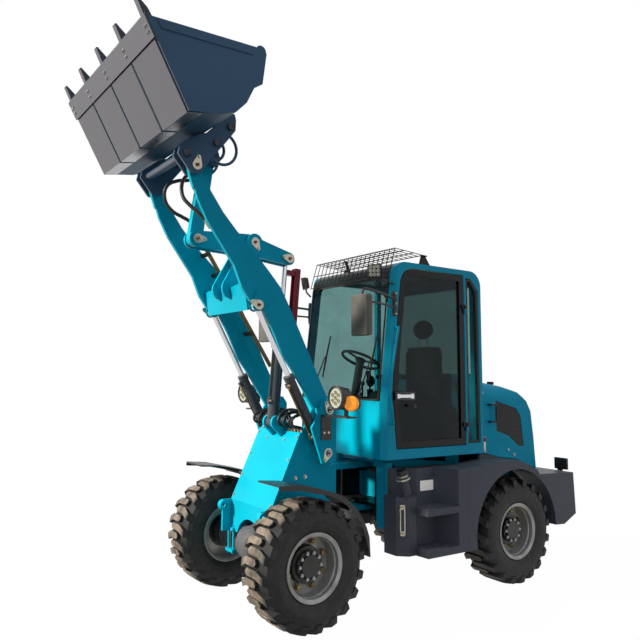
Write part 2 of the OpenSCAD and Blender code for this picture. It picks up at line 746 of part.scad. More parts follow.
// Rail beside the door: [x, z] from the top down
rail = [[-845, 2039], [-790, 1769], [-752, 1541], [-790, 1315]];
hinge_zs = [1230, 2200];
module cab_frame() {
    rail_y = cab_y + 40;
    color("teal") at_origin() {
        cab_shell();
        tube([[rail[0][0], cab_y - 1, rail[0][1]], for (p = rail) [p[0], rail_y, p[1]],
            [rail[3][0], cab_y - 1, rail[3][1]]], 10);
        for (z = hinge_zs) {
            translate([hinge_pin[0], hinge_pin[1], z]) cylinder(h = 34, r = 10);
            translate([hinge_pin[0], hinge_pin[1], z + 30]) cylinder(h = 40, r = 5);
            box(-1646, -1625, cab_y - 1, hinge_pin[1], z, z + 34);
        }
    }
}
module cab_roof() {
    color("black") at_origin()
        box(cab_rear + rounding + seam, -1010 - seam, -cab_y + 71, cab_y - 71, roof_z - 54, roof_z);
}
module cab_glass() {
    color("lightblue") at_origin() {
        centred(cab_w - 2 * wall - 12) polygon([shield_low + [0, 2], shield_low + [-glass, 2],
            shield_high - [glass, 2], shield_high - [0, 2]]);
        box(cab_rear + 12, cab_rear + 12 + glass, -cab_y + 92, cab_y - 92, 1702, 2438);
        sides() upright(cab_y - 24, glass) quarter_outline(-2);
        upright(-cab_y + 18, glass) door_outline(-22);
    }
}
module cab_door() {
    color("teal") at_origin() difference() {
        union() {
            difference() {
                upright(cab_y - 34, 34) door_outline(-3);
                upright(cab_y - 40, 60) door_outline(-55);
            }
            // handle
            box(-985, -824, cab_y + 10, cab_y + 30, 1502, 1532);
            for (x = [-980, -850]) box(x, x + 18, cab_y - 1, cab_y + 12, 1506, 1528);
            for (z = hinge_zs) {
                translate([hinge_pin[0], hinge_pin[1], z + 36]) cylinder(h = 34, r = 10);
                box(-1625, -1590, cab_y - 1, hinge_pin[1], z + 36, z + 70);
            }
        }
        for (z = hinge_zs)
            translate([hinge_pin[0], hinge_pin[1], z + 30]) cylinder(h = 44, r = 5 + fit);
    }
}
module door_glass() {
    color("lightblue") at_origin() upright(cab_y - 20, glass) door_outline(-55.5);
}
// Bent mesh panel over the windshield: rear edge, bend and lower edge as [x, z]
guard_rear = [-1190, 2650];
guard_bend = [-882, 2673];
guard_low = [-815, 2447];
guard_y = 525;
guard_wire = 5;
module roof_guard() {
    count = 19;
    color("black") at_origin() {
        for (i = [0 : count - 1])
            upright(-guard_y + i * 2 * guard_y / (count - 1) - guard_wire / 2, guard_wire) {
                strip2d(guard_rear, guard_bend, guard_wire);
                strip2d(guard_bend, guard_low, guard_wire);
            }
        for (p = [guard_rear, guard_rear + 0.34 * (guard_bend - guard_rear),
            guard_rear + 0.68 * (guard_bend - guard_rear), guard_bend,
            guard_bend + 0.5 * (guard_low - guard_bend), guard_low])
            bar_y(p, -guard_y - 4, guard_y + 4, 4, $fn = 6);
        // struts down to the roof's edges
        sides() upright(guard_y - 24, 8) polygon([[-1290, cab_top + 1], [-1160, cab_top + 1],
            [-1186, 2649], [-1232, 2649]]);
        sides() box(-1234, -1184, guard_y - 24, guard_y + 4, 2643, 2651);
        upright(-179, 8) polygon([[-1000, cab_top + 1], [-968, cab_top + 1], [-925, 2672],
            [-950, 2670]]);
    }
}
seat_x = -1620;
module cab_interior() {
    mat_z = cab_floor_z + wall;
    hub = [-965, 1800];
    color("black") at_origin() {
        box(cab_rear + wall + 2, cab_toe - wall - 2, -cab_y + wall + 2, cab_y - wall - 2,
            mat_z, mat_z + 6);
        box(seat_x, -1280, -210, 210, mat_z + 5, 1420);
        // side console with its levers
        box(seat_x + 20, -1150, -440, -260, mat_z + 5, 1480);
        for (x = [-1220, -1270]) translate([x, -340, 1478]) cylinder(h = 120, r = 8);
        for (x = [-1220, -1270]) translate([x, -340, 1600]) sphere(r = 22);
        // steering column and wheel
        box(-960, -840, -120, 120, mat_z + 5, 1460);
        rod_xz([-890, 1440], hub, 0, 34);
        along([-890, 1440], hub, 0) translate([0, 0, norm(hub - [-890, 1440])])
            rotate([0, -14, 0]) {
                rotate_extrude() translate([162, 0]) circle(12);
                cylinder(h = 24, r = 42, center = true);
                for (a = [0, 120, 240]) rotate([0, 0, a]) translate([20, -10, -6])
                    cube([140, 20, 12]);
            }
    }
}
module seat_cushion() {
    color("black") at_origin() {
        box(seat_x, -1220, -240, 240, 1421, 1540);
    }
}
module seat_back() {
    color("black") at_origin() {
        across(-1755, 105) soft_rect(-235, 1422, 235, 1961, 70);
        across(-1775, 85) soft_rect(-130, 1996, 130, 2190, 60);
        for (y = [-60, 60]) translate([-1730, y, 1950]) cylinder(h = 60, r = 7);
    }
}
module mirrors() {
    foot_x = -866;
    color("black") at_origin() sides() {
        across(-455, 60) soft_rect(562, 1946, 758, 2259, 34);
        box(foot_x - 10, foot_x + 18, cab_y, cab_y + 10, 2175, 2335);
        for (z = [[2310, 2225], [2195, 2140]])
            tube([[foot_x, cab_y + 9, z[0]], [foot_x + 20, cab_y + 32, z[0]], [-430, 650, z[1]]], 8);
    }
}
module body_lamps() {
    color("black") at_origin() sides() {
        translate([-717, 480, 2482]) rotate([0, 10, 0]) cube([104, 106, 106], center = true);
        box(shield_x(2415) + 3, -700, 462, 498, 2400, 2430);
        box(tail_x + 16, tail_x + 40, 560, 690, 860, 960);
        box(tail_x + 40, tail_x + 56, 600, 650, 850, 900);
    }
}

// ---------------------------------------------------------------- hood and rear body
hood_front = cab_rear - 4;
// The hood's lower edge, from the cab backwards
hood_foot = [[hood_front, 1034], [back(-97), 1024], [back(42), 992], [back(279), 962],
    [back(548), 864]];

module hood_side(in) {
    polygon(concat([[hood_front, 1634 - in], [back(-50), 1625 - in], [back(150), 1590 - in],
        [back(330), 1540 - in], [back(440), 1460 - in], [back(495) + in, 1370],
        [back(525) + in, 1140], [back(548) + in, 864]],
        [for (i = [3 : -1 : 0]) hood_foot[i]]));
}
module hood_end(in) {
    half = hood_y - in;
    polygon([[-half, 850], [half, 850], [half, 1470], [half - 130, 1650 - in],
        [-half + 130, 1650 - in], [-half, 1470]]);
    for (s = [-1, 1]) translate([s * (half - 170), 1470 - in]) circle(170);
}
module grille_outline(grow) {
    polygon([[back(24) + grow, 1470 + grow], [back(290), 1402 + grow],
        [back(352) - grow, 1332 + grow], [back(384) - grow, 1069 - grow],
        [back(318), 1069 - grow], [back(180), 1166 - grow], [back(24) + grow, 1212 - grow]]);
}
rear_grille = [330, 1010, 1340];     // half width, foot, head
module hood() {
    skirt = hood_y + 20;
    color("teal") at_origin() difference() {
        intersection() {
            centred(hood_w + 10) hood_side(0);
            across(back(650), 900) hood_end(0);
        }
        intersection() {
            centred(hood_w + 10) translate([0, -sheet]) hood_side(sheet);
            across(back(650), 900) hood_end(sheet);
        }
        centred(hood_w - 2 * sheet) polygon(concat(hood_foot,
            [hood_foot[4] - [0, 90], hood_foot[0] - [0, 90]], []));
        centred(2 * skirt) grille_outline(0);
        box(back(600), back(480), -rear_grille[0], rear_grille[0], rear_grille[1], rear_grille[2]);
    }
}
module hood_grilles() {
    slat = 26;
    color("black") at_origin() {
        sides() {
            upright(hood_y - 9, 4) grille_outline(-seam);
            for (i = [0 : 8]) upright(hood_y - 6, 5) intersection() {
                grille_outline(-seam - 4);
                translate([back(400), 1082 + i * 44]) square([400, slat]);
            }
            // handle
            tube([[back(-80), hood_y + 1, 1437], [back(-80), hood_y + 30, 1437],
                [back(-10), hood_y + 30, 1437], [back(-10), hood_y + 30, 1293],
                [back(-80), hood_y + 30, 1293], [back(-80), hood_y + 1, 1293]], 8);
        }
        box(back(492), back(488), -rear_grille[0] + seam, rear_grille[0] - seam,
            rear_grille[1] + seam, rear_grille[2] - seam);
        for (i = [0 : 6]) box(back(500), back(490), -rear_grille[0] + seam + 2,
            rear_grille[0] - seam - 2, rear_grille[1] + 12 + i * 46, rear_grille[1] + 34 + i * 46);
        // cap on the hood
        translate([back(100), 380, 1606]) cylinder(h = 26, r = 30);
    }
}
arch_x = rear_x + 20;
arch_r = 500;
module wheel_arch() {
    upright(400, 500) translate([arch_x, tyre_r]) circle(arch_r);
}
box_top = 962;
module side_boxes() {
    body_in = 416;
    seam_x = -1440;
    color("dimgray") at_origin() difference() {
        union() {
            // left: tank with the filler, two steps let into it
            translate([0, 0, 345]) linear_extrude(425) polygon([[-856, body_in], [-856, 548],
                [-930, 612], [-1003, 612], [-1074, 546], [-1258, 545], [-1331, box_y],
                [seam_x, box_y], [seam_x, body_in]]);
            translate([0, 0, 769]) linear_extrude(box_top - 769) polygon([[-890, body_in],
                [-955, 434], [-1074, 546], [-1258, 545], [-1331, box_y], [seam_x, box_y],
                [seam_x, body_in]]);
            for (z = [[345, 400], [641, 690]]) translate([0, 0, z[0]])
                linear_extrude(z[1] - z[0]) polygon([[-990, 540], [-1003, box_y],
                    [-1340, box_y], [-1300, 500], [-1060, 500]]);
            // filler
            tube([[-940, 560, 740], [-927, 590, 800], [-882, 590, 940]], 34);
            along([-927, 800], [-882, 940], 590) {
                translate([0, 0, 118]) cylinder(h = 12, r = 52);
                translate([0, 0, 130]) cylinder(h = 42, r = 38);
            }
            // level gauge on the slanting face
            translate([-893, 580, 604]) rotate([0, 0, 49.2]) cube([16, 44, 228], center = true);
            // right: closed box with a lid
            translate([0, 0, 345]) mirror([0, 1, 0]) linear_extrude(box_top - 345)
                polygon([[post_x - 2, body_in], [-991, 607], [-1000, box_y], [seam_x, box_y],
                    [seam_x, body_in]]);
            box(-1400, -1040, -box_y - 4, -box_y + 2, 520, 900);
        }
        sides() wheel_arch();
    }
}
module rear_fenders() {
    fender_in = hood_y + 6;
    fender_front = -1440 - seam;
    color("dimgray") at_origin() sides() difference() {
        union() {
            upright(fender_in, box_y - fender_in) polygon([[fender_front, 345],
                [fender_front, box_top], [-1812, 990], [back(30), 985], [back(250), 900],
                [back(280), 862], [back(280), 345]]);
            // skirt under the hood's edge
            upright(hood_y - 16, 24) polygon(concat([for (i = [0 : 3]) hood_foot[i] - [0, 6]],
                [[back(500), 872], [back(500), 863], [back(270), 863], [back(270), 900],
                [hood_front, 900]]));
        }
        wheel_arch();
        box(back(550), back(50), 400, 900, 300, 700);
    }
}
module counterweight() {
    color("dimgray") at_origin() difference() {
        centred(body_w) polygon([[back(281), 860], [back(281), 700], [back(450), 425],
            [back(600), 418], [tail_x, 492], [tail_x + 18, 845]]);
        box(back(554), back(250), -hood_y - 4, hood_y + 4, 400, 900);
        sides() wheel_arch();
    }
}

// ---------------------------------------------------------------- drawing
rear_frame();
engine_block();
rear_axle();
cab_frame();
cab_roof();
cab_glass();
roof_guard();
cab_interior();
seat_cushion();
seat_back();
mirrors();
body_lamps();
cab_door();
door_glass();
hood();
hood_grilles();
side_boxes();
rear_fenders();
counterweight();
front_frame();
front_panel();
front_axle();
front_fenders();
head_lamps();
hoses();
loader_arm();
arm_pipes();
bellcrank();
tilt_link();
coupler();
bucket();
cutting_edge();
lift_barrels();
lift_rods();
tilt_barrel();
tilt_rod();
safety_strut();
color("silver") at_origin() wheel_at(0, true) rim_shape();  // rim_front_left
color("silver") at_origin() wheel_at(0, false) rim_shape();  // rim_front_right
color("silver") at_origin() wheel_at(rear_x, true) rim_shape();  // rim_rear_left
color("silver") at_origin() wheel_at(rear_x, false) rim_shape();  // rim_rear_right
color("black") at_origin() wheel_at(0, true) tyre_shape();  // tyre_front_left
color("black") at_origin() wheel_at(0, false) tyre_shape();  // tyre_front_right
color("black") at_origin() wheel_at(rear_x, true) tyre_shape();  // tyre_rear_left
color("black") at_origin() wheel_at(rear_x, false) tyre_shape();  // tyre_rear_right
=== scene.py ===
# %% [markdown]
# # A compact wheel loader
# A wheel loader carries a bucket on a raised pair of steel arms. This lesson dresses its
# finished CAD frame: the steelwork is already there as exact solids, and Blender adds
# paint, rubber, glass, seams, bolts, hoses and light. They are the fixed skeleton, so
# every new piece takes its place from them, and `at` turns workshop millimetres
# (measured from the front axle, forward, left and up) into the scene's metres.

# %% Load the frame
import math

import bpy
import bmesh
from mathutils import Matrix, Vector


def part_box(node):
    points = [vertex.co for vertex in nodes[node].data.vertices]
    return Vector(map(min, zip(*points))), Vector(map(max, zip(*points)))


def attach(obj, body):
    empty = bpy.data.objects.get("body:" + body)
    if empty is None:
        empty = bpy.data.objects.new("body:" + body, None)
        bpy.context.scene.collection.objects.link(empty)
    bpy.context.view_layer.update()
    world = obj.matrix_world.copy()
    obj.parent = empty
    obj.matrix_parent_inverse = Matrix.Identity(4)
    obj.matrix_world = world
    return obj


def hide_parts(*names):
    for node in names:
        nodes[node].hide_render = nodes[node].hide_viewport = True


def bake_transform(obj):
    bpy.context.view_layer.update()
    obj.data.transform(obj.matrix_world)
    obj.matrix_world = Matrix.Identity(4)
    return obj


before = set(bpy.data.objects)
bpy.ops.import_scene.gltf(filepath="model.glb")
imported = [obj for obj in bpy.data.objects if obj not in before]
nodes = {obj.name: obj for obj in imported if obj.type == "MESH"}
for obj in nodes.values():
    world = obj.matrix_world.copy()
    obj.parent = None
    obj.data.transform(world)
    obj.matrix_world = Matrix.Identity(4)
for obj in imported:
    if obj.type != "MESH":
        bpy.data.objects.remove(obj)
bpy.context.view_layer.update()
MM = 0.001
BOTH = (1, -1)
SIDES = (("left", 1), ("right", -1))


def rim_middle(wheel):
    """The middle of a wheel's rim along each axis, in metres."""
    return [(a + b) / 2 for a, b in zip(*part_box("rim_" + wheel))]


AXLE_X, _, AXLE_Z = rim_middle("front_left")
REAR_X = rim_middle("rear_left")[0]


def at(x, y, z):
    """Millimetres forward of the front axle, left of the middle and up, in metres."""
    return Vector((AXLE_X + x * MM, y * MM, z * MM))


print("nodes:", len(nodes), "axles at x", round(AXLE_X, 4), round(REAR_X, 4))

# %% [markdown]
# ## The camera
# A machine this size is usually looked at from a few metres away at eye height. The lens
# is a little longer than normal, and it stands low at the front left corner, so the arms
# rise across the sky. A small shift frames it without tilting the verticals.

# %% Camera
camera_data = bpy.data.cameras.new("camera")
camera_data.lens = 37.3437
camera_data.sensor_width = 36
camera_data.shift_x = 0.03742
camera_data.shift_y = -0.04895
camera = bpy.data.objects.new("camera", camera_data)
camera.location = (3.35833, 4.37537, 1.65415)
camera.rotation_euler = [math.radians(a) for a in (97.53426, -0.80068, 145.92954)]
bpy.context.scene.collection.objects.link(camera)
bpy.context.scene.camera = camera
print("camera at", [round(v, 2) for v in camera.location])

# %% [markdown]
# ## One helper for node trees
# Every finish below is a small graph of shader nodes. `add` makes a node and fills its
# inputs, so that each recipe reads from top to bottom like a list. Colours are written
# the way a paint chart gives them, as hex values, and `linear` turns them to the linear
# numbers that the renderer works in. The other helpers are common recipes built on it.

# %% Helpers for materials


def linear(code):
    """A colour code such as 00A5B8 as linear red, green, blue and alpha."""
    parts = [int(code[i:i + 2], 16) / 255 for i in (0, 2, 4)]
    return [p / 12.92 if p <= 0.04045 else ((p + 0.055) / 1.055) ** 2.4 for p in parts] + [1.0]


def add(tree, kind, inputs=None, **settings):
    """Adds a node. Each input is a value, a colour code, a node or (node, output number)."""
    made = tree.nodes.new("ShaderNode" + kind)
    for name, value in settings.items():
        setattr(made, name, value)
    for name, value in (inputs or {}).items():
        if isinstance(value, bpy.types.Node):
            value = (value, 2 if value.bl_idname == "ShaderNodeMix" else 0)
        if isinstance(value, tuple) and isinstance(value[0], bpy.types.Node):
            tree.links.new(value[0].outputs[value[1]], made.inputs[name])
        else:
            made.inputs[name].default_value = linear(value) if isinstance(value, str) else value
    return made


def calc(tree, operation, first, second=None, **settings):
    """Arithmetic on one or two values."""
    inputs = {0: first} if second is None else {0: first, 1: second}
    return add(tree, "Math", inputs, operation=operation, **settings)


def mask(tree, source, low, high, first=0.0, last=1.0):
    """Goes from first to last while the source goes from low to high."""
    return add(tree, "MapRange", {0: source, 1: low, 2: high, 3: first, 4: last})


def mix(tree, factor, first, second):
    """Blend of two colours."""
    return add(tree, "Mix", {0: factor, 6: first, 7: second}, data_type="RGBA")


def noise(tree, size_mm, detail=3, **inputs):
    """Cloudy pattern whose blobs are about size_mm across, in the piece's own coordinates."""
    spot = add(tree, "TexCoord")
    return add(tree, "TexNoise",
               {0: (spot, 3), "Scale": 1000 / size_mm, "Detail": detail, **inputs})


def relief(tree, height, strength, depth):
    """Fine bumps that only bend the light."""
    return add(tree, "Bump", {"Height": height, "Strength": strength, "Distance": depth})


def new_material(name):
    """An empty node material and its tree."""
    material = bpy.data.materials.new(name)
    material.use_nodes = True
    material.node_tree.nodes.clear()
    return material, material.node_tree


def surface(tree, inputs):
    """Ends a recipe with one principled surface."""
    add(tree, "OutputMaterial", {0: add(tree, "BsdfPrincipled", inputs)})


print("helpers ready")

# %% [markdown]
# ## Floor, backdrop and light
# The machine stands on a pale studio floor. The background should be white without
# washing out the paint, so the world is white only for what the camera and the
# reflections see, while its share in lighting stays modest. A broad sun from ahead
# models the sunlit front, and the left side stays in open shade.

# %% World, floor and lamps


def looked_at(tree):
    """1 for rays that the eye, a mirror or a glass sends out, 0 for bounced light."""
    rays = add(tree, "LightPath")
    return calc(tree, "MAXIMUM", calc(tree, "MAXIMUM", (rays, 0), (rays, 3)), (rays, 6))


FILL, SUN = 0.5, 4.2
FLOOR_GLOW, FLOOR_SHARE = 1.15, 0.86
world = bpy.data.worlds.new("studio")
bpy.context.scene.world = world
world.use_nodes = True
sky = world.node_tree
sky.nodes.clear()
dim = add(sky, "Background", {"Color": "C2D3F0", "Strength": FILL})
white = add(sky, "Background", {"Color": "FFFFFF", "Strength": 1.0})
add(sky, "OutputWorld", {0: add(sky, "MixShader", {0: looked_at(sky), 1: dim, 2: white})})

floor_paint, tree = new_material("studio_floor_matt")
share = calc(tree, "MULTIPLY", looked_at(tree), FLOOR_SHARE)
matt = add(tree, "BsdfDiffuse", {"Color": "50504E"})
glow = add(tree, "Emission", {"Color": "FFFFFF", "Strength": FLOOR_GLOW})
add(tree, "OutputMaterial", {0: add(tree, "MixShader", {0: share, 1: matt, 2: glow})})
bpy.ops.mesh.primitive_plane_add(size=90, location=(0, 0, -0.001))
floor = bpy.context.object
floor.name = "studio_floor"
bpy.ops.object.transform_apply(location=True)
floor.data.materials.append(floor_paint)

bpy.ops.object.light_add(type="SUN", rotation=(0, math.radians(62), math.radians(-24)))
sun = bpy.context.object.data
sun.energy = SUN
sun.color = (1.0, 0.96, 0.9)
sun.angle = math.radians(9)
bpy.context.scene.view_settings.view_transform = "Standard"
print("sun strength", sun.energy, "fill", FILL)

# %% [markdown]
# ## Machine paint
# The steelwork is sprayed with a two-pack polyurethane enamel. Such paint is smooth but
# never perfect: it has a faint orange peel of a few millimetres, it fades unevenly, and
# site dust settles on what faces up and on what is near the ground. The recipe mixes
# those layers from noise in the piece's own coordinates, so the pattern stays put when
# the piece moves, and all painted parts share it with other colours and amounts.

# %% Painted metal


def sprayed(name, colour, dust="9A9184", dusty=0.35, rough=0.3, shine=0.3, spots=0.0,
            painted_sunlight=None, band=None):
    """Enamel on steel: dusty is how much settles, spots the share of small chips, painted_sunlight
    a lighter colour painted as sunlight on the faces that look forward and down, and band a box
    (low corner, high corner, colour) painted another colour: the cab's dark header, and painted
    shade inside the rear frame."""
    material, tree = new_material(name)
    cloud = noise(tree, 420, 4)
    spot = add(tree, "TexCoord")
    place = add(tree, "SeparateXYZ", {0: (spot, 3)})
    facing = add(tree, "SeparateXYZ", {0: (spot, 1)})
    # fading: the same paint a little darker in wide clouds
    shade = add(tree, "HueSaturation", {"Color": colour, "Value": 0.9})
    tint = mix(tree, mask(tree, cloud, 0.42, 0.62), colour, shade)
    # painted sunlight: faces that look forward and down, where the sun falls on the bucket's
    # floor, take a lighter colour
    if painted_sunlight:
        dot = add(tree, "VectorMath", {0: (spot, 1), 1: PAINTED_SUNLIGHT_SIDE}, operation="DOT_PRODUCT")
        tint = mix(tree, mask(tree, (dot, 1), 0.9, 0.97), tint, painted_sunlight)
    if band:
        inside = None
        for axis in range(3):
            for edge, way in ((band[0][axis], MM), (band[1][axis], -MM)):
                step = mask(tree, (place, axis), edge - way, edge + way)
                inside = step if inside is None else calc(tree, "MULTIPLY", inside, step)
        tint = mix(tree, inside, tint, band[2])
    # dust: on top faces, in the lower metre, and in broken patches
    top = mask(tree, (facing, 2), 0.35, 1.0)
    low = mask(tree, (place, 2), 1.15, 0.15)
    lie = calc(tree, "ADD", calc(tree, "MAXIMUM", top, low), 0.25)
    broken = calc(tree, "MULTIPLY", lie, cloud)
    broken = calc(tree, "MULTIPLY", broken, mask(tree, noise(tree, 9, 3), 0.35, 0.75))
    amount = calc(tree, "MULTIPLY", broken, dusty * 2.4, use_clamp=True)
    look = mix(tree, amount, tint, dust)
    if spots:
        chip = noise(tree, 14, 5, Roughness=0.7)
        look = mix(tree, mask(tree, chip, 0.74 - spots, 0.76 - spots), look, "7C7A78")
    surface(tree, {"Base Color": look, "Roughness": mask(tree, amount, 0.0, 0.6, rough, 0.8),
                   "Normal": relief(tree, noise(tree, 5, 2), 0.12, 0.0006),
                   "IOR": 1.5, "Specular IOR Level": shine})
    return material


TEAL = "00CAE0"
# the direction of the faces that get painted sunlight: forward and down
PAINTED_SUNLIGHT_SIDE = (0.8695, 0, -0.4939)
HEADER = ((AXLE_X - 0.99, -0.515, 2.44), (AXLE_X - 0.6, 0.515, 2.7), "1D2A2B")
# painted shade: a near-black box on the rear frame round the articulation, where its inside lies
# in shade
FRAME_PAINTED_SHADE = ((AXLE_X - 1.13, -0.37, 0.3), (AXLE_X - 0.9, 0.37, 0.955), "0E1012")
teal = sprayed("teal_polyurethane_enamel", TEAL, dusty=0.05, rough=0.26, shine=0.08)
cab_teal = sprayed("teal_cab_enamel", TEAL, dusty=0.05, rough=0.22, shine=0.12, band=HEADER)
frame_teal = sprayed("teal_frame_enamel_painted_shade", TEAL, dusty=0.08, shine=0.08, band=FRAME_PAINTED_SHADE)
graphite = sprayed("graphite_polyurethane_enamel", "5A5C62", dusty=0.14, rough=0.42, shine=0.25)
# the bucket and its edge show one paint twice: the base colour as painted shade on faces away from
# the sun, the lighter grey as painted sunlight
bucket_paint = sprayed("blue_grey_primer_enamel", "466A85", "85817F", 0.2, 0.5, spots=0.03,
                       painted_sunlight="7B797C")
edge_steel = sprayed("abrasion_steel_edge", "454C55", "8A8788", 0.2, 0.55, spots=0.06,
                     painted_sunlight="858386")
black_paint = sprayed("black_chassis_enamel", "111214", dusty=0.05, rough=0.25, shine=0.2)
cylinder_paint = sprayed("dark_grey_cylinder_enamel", "4E5155", dusty=0.12, rough=0.32)
axle_paint = sprayed("grey_axle_enamel", "54585C", dusty=0.5, rough=0.5)
red_paint = sprayed("red_safety_enamel", "9A1B2E", dusty=0.1, rough=0.35)
print("paints:", [m.name for m in (teal, graphite, bucket_paint, black_paint)])

# %% [markdown]
# ## Bare and plated metal
# Hydraulic rods are ground and hard-chromed, so they mirror the world in a narrow band.
# Pins, lock plates and bolts are zinc plated: softer, with a pale bluish-yellow bloom.
# Pipes and fittings are olive and brass coloured. The bolts in the bucket's edge are
# bare steel that the ground has polished, with fine scratches.

# %% Metals


def metal(name, colour, rough, spread=0.1, stretch=(1, 1, 1), size=6, stain=None, stained=0.0,
          bare=1.0):
    """A bare or plated metal: stretch draws the scratches out along an axis."""
    material, tree = new_material(name)
    spot = add(tree, "TexCoord")
    lay = add(tree, "Mapping", {0: (spot, 3), "Scale": stretch})
    lines = add(tree, "TexNoise", {0: lay, "Scale": 1000 / size, "Detail": 4})
    deep = add(tree, "HueSaturation", {"Color": colour, "Value": 0.72})
    look = mix(tree, mask(tree, lines, 0.25, 0.75), deep, colour)
    if stain:
        cloud = noise(tree, 60, 5, Roughness=0.65)
        look = mix(tree, mask(tree, cloud, 0.72 - stained, 0.8 - stained), look, stain)
    uneven = mask(tree, lines, 0.3, 0.7, max(rough - spread, 0.03), rough + spread)
    surface(tree, {"Base Color": look, "Roughness": uneven, "Metallic": bare,
                   "Normal": relief(tree, lines, 0.1, 0.0004)})
    return material


chrome = metal("hard_chromed_steel", "D9DBDE", 0.1, 0.04, size=3)
zinc = metal("zinc_plated_steel", "B9B6A8", 0.38, size=8, stain="8C8468", stained=0.12)
olive_pipe = metal("olive_chromated_pipe", "6E6248", 0.45, size=9)
brass = metal("brass_fittings", "B39F78", 0.42, size=5, bare=0.8)
bare_steel = metal("ground_bare_steel", "A7A8AA", 0.34, 0.12, (1, 6, 1), 12, "6E6658", 0.15)
gold = metal("gold_chromated_steel", "94835C", 0.4, stain="5E5240", stained=0.2)
reflector = metal("vacuum_silvered_reflector", "D8CBA4", 0.3, 0.05, size=2, bare=0.5)
mirror_glass = metal("silvered_mirror_glass", "C9D2D4", 0.04, 0.01, size=30)
print("metals:", [m.name for m in (chrome, zinc, brass, bare_steel)])

# %% [markdown]
# ## Plastics, rubber, glass and fabric
# Fenders, lamp housings and consoles are injection moulded, which leaves a fine leather
# grain and a dull sheen. Hoses are extruded rubber. The safety glass is tinted grey-green
# and only a few millimetres thick, so it is mixed from clear and glossy rather than
# refracted, which keeps the cab readable.

# %% Moulded and clear materials


def moulded(name, colour, rough=0.5, grain_mm=1.6, depth=0.0003, dust="8D8478", dusty=0.15):
    """Injection moulded plastic or extruded rubber with a fine grain and a dust film."""
    material, tree = new_material(name)
    cloud = noise(tree, 160, 4)
    film = calc(tree, "MULTIPLY", mask(tree, cloud, 0.45, 0.8), dusty * 2, use_clamp=True)
    surface(tree, {"Base Color": mix(tree, film, colour, dust), "IOR": 1.47,
                   "Roughness": mask(tree, cloud, 0.3, 0.7, rough - 0.08, rough + 0.14),
                   "Normal": relief(tree, noise(tree, grain_mm, 2), 0.35, depth)})
    return material


def clear(name, colour, share, rough=0.04, film="AFA893", filmed=0.12, deep="0C1414",
          glow=0.0):
    """Thin tinted sheet: colour is what each face lets through, deep what it shows itself, and
    glow how brightly the face glows in the deep colour, which is painted light.
    """
    material, tree = new_material(name)
    soft = calc(tree, "MULTIPLY", mask(tree, noise(tree, 240, 4), 0.4, 0.75), filmed)
    let = add(tree, "BsdfTransparent", {0: colour})
    face = add(tree, "BsdfPrincipled",
               {"Base Color": mix(tree, soft, deep, film), "Roughness": rough, "IOR": 1.5,
                "Emission Color": deep, "Emission Strength": glow})
    stop = calc(tree, "ADD", soft, share)
    add(tree, "OutputMaterial", {0: add(tree, "MixShader", {0: stop, 1: let, 2: face})})
    return material


plastic = moulded("moulded_black_polypropylene", "101113", 0.38, dusty=0.06)
lamp_plastic = moulded("moulded_lamp_housing_abs", "141517", 0.35, 2.2, 0.0002)
mirror_plastic = moulded("dusty_mirror_housing_abs", "625D51", dust="8A8272", dusty=0.4)
cab_plastic = moulded("moulded_console_abs", "26292A", 0.55, 1.2)
red_cap = moulded("red_grease_cap_polyethylene", "C2202A", 0.4, 1.0, 0.0001, dusty=0.1)
hose_rubber = moulded("extruded_hose_rubber", "0C0D0F", 0.5, 1.2, dusty=0.06)
seal_rubber = moulded("glazing_seal_rubber", "19181A", 0.6, 1.0, dust="5E4A3A", dusty=0.3)
glass = clear("tinted_safety_glass", "D4E6E5", 0.1, filmed=0.08)
# the door glass is part opaque: its dark teal face is painted reflection of dark surroundings,
# over the pane's own grey-green tint
door_pane = clear("tinted_door_glass_painted_reflection", "9DB3B1", 0.3, filmed=0.05, deep="22383A")
lens = clear("polycarbonate_lamp_lens", "F4F6F2", 0.06, filmed=0.04)
# painted light: the amber lenses glow faintly though their lamps are off, as if sunlit inside the
# acrylic
amber = clear("amber_acrylic_lens_painted_glow", "FFB04A", 0.85, 0.1, "F09A3C", 0.1, "FF9A1C", glow=0.6)
red_lens = clear("red_acrylic_lens", "C4141A", 0.8, 0.12, "7A3030", 0.1, "B80C12")
# painted light: a white enamel that glows faintly though no lamp is lit, on the head lamp faces,
# the work lamp LEDs and the blank tank plate
painted_glow_white, tree = new_material("white_enamel_painted_glow")
surface(tree, {"Base Color": mix(tree, noise(tree, 30, 2), "E8E6DC", "F4F2EA"),
               "Roughness": 0.35, "Emission Color": "FFF8E6", "Emission Strength": 0.25})
print("plastics and glass ready")

# %% [markdown]
# ## Seat cloth
# The operator's seat is covered in woven vinyl-backed cloth. Threads are about 1 mm
# apart, drawn here at 3 mm so that the weave survives at this distance: two waves at
# right angles make the over and under of a plain weave.

# %% Seat cloth
THREAD, WAVES = 0.003, 3.18
seat_cloth, tree = new_material("woven_seat_cloth")
spot = add(tree, "TexCoord")
weave = [add(tree, "TexWave", {0: (spot, 3), "Scale": 1 / THREAD / WAVES, "Distortion": 0.4},
             bands_direction=way) for way in ("Y", "Z")]
cross = calc(tree, "MULTIPLY", (weave[0], 1), (weave[1], 1))
surface(tree, {"Base Color": mix(tree, cross, "1D2023", "3A4045"), "Roughness": 0.85,
               "Normal": relief(tree, cross, 0.5, 0.0008),
               "Sheen Weight": 0.3, "Sheen Roughness": 0.4})
print("seat cloth thread", THREAD)

# %% [markdown]
# ## Tyres and wheels
# A chunky tyre is black rubber with road dust: the lug faces that touch the ground are
# tan and dull, the grooves stay dark, and fine moulded rings run round the sidewall. All
# of that depends on the distance from the axle, so each wheel's material measures that
# distance from its own centre. The pressed wheel is silver enamel outside, its hub black
# and its nuts gold coloured.

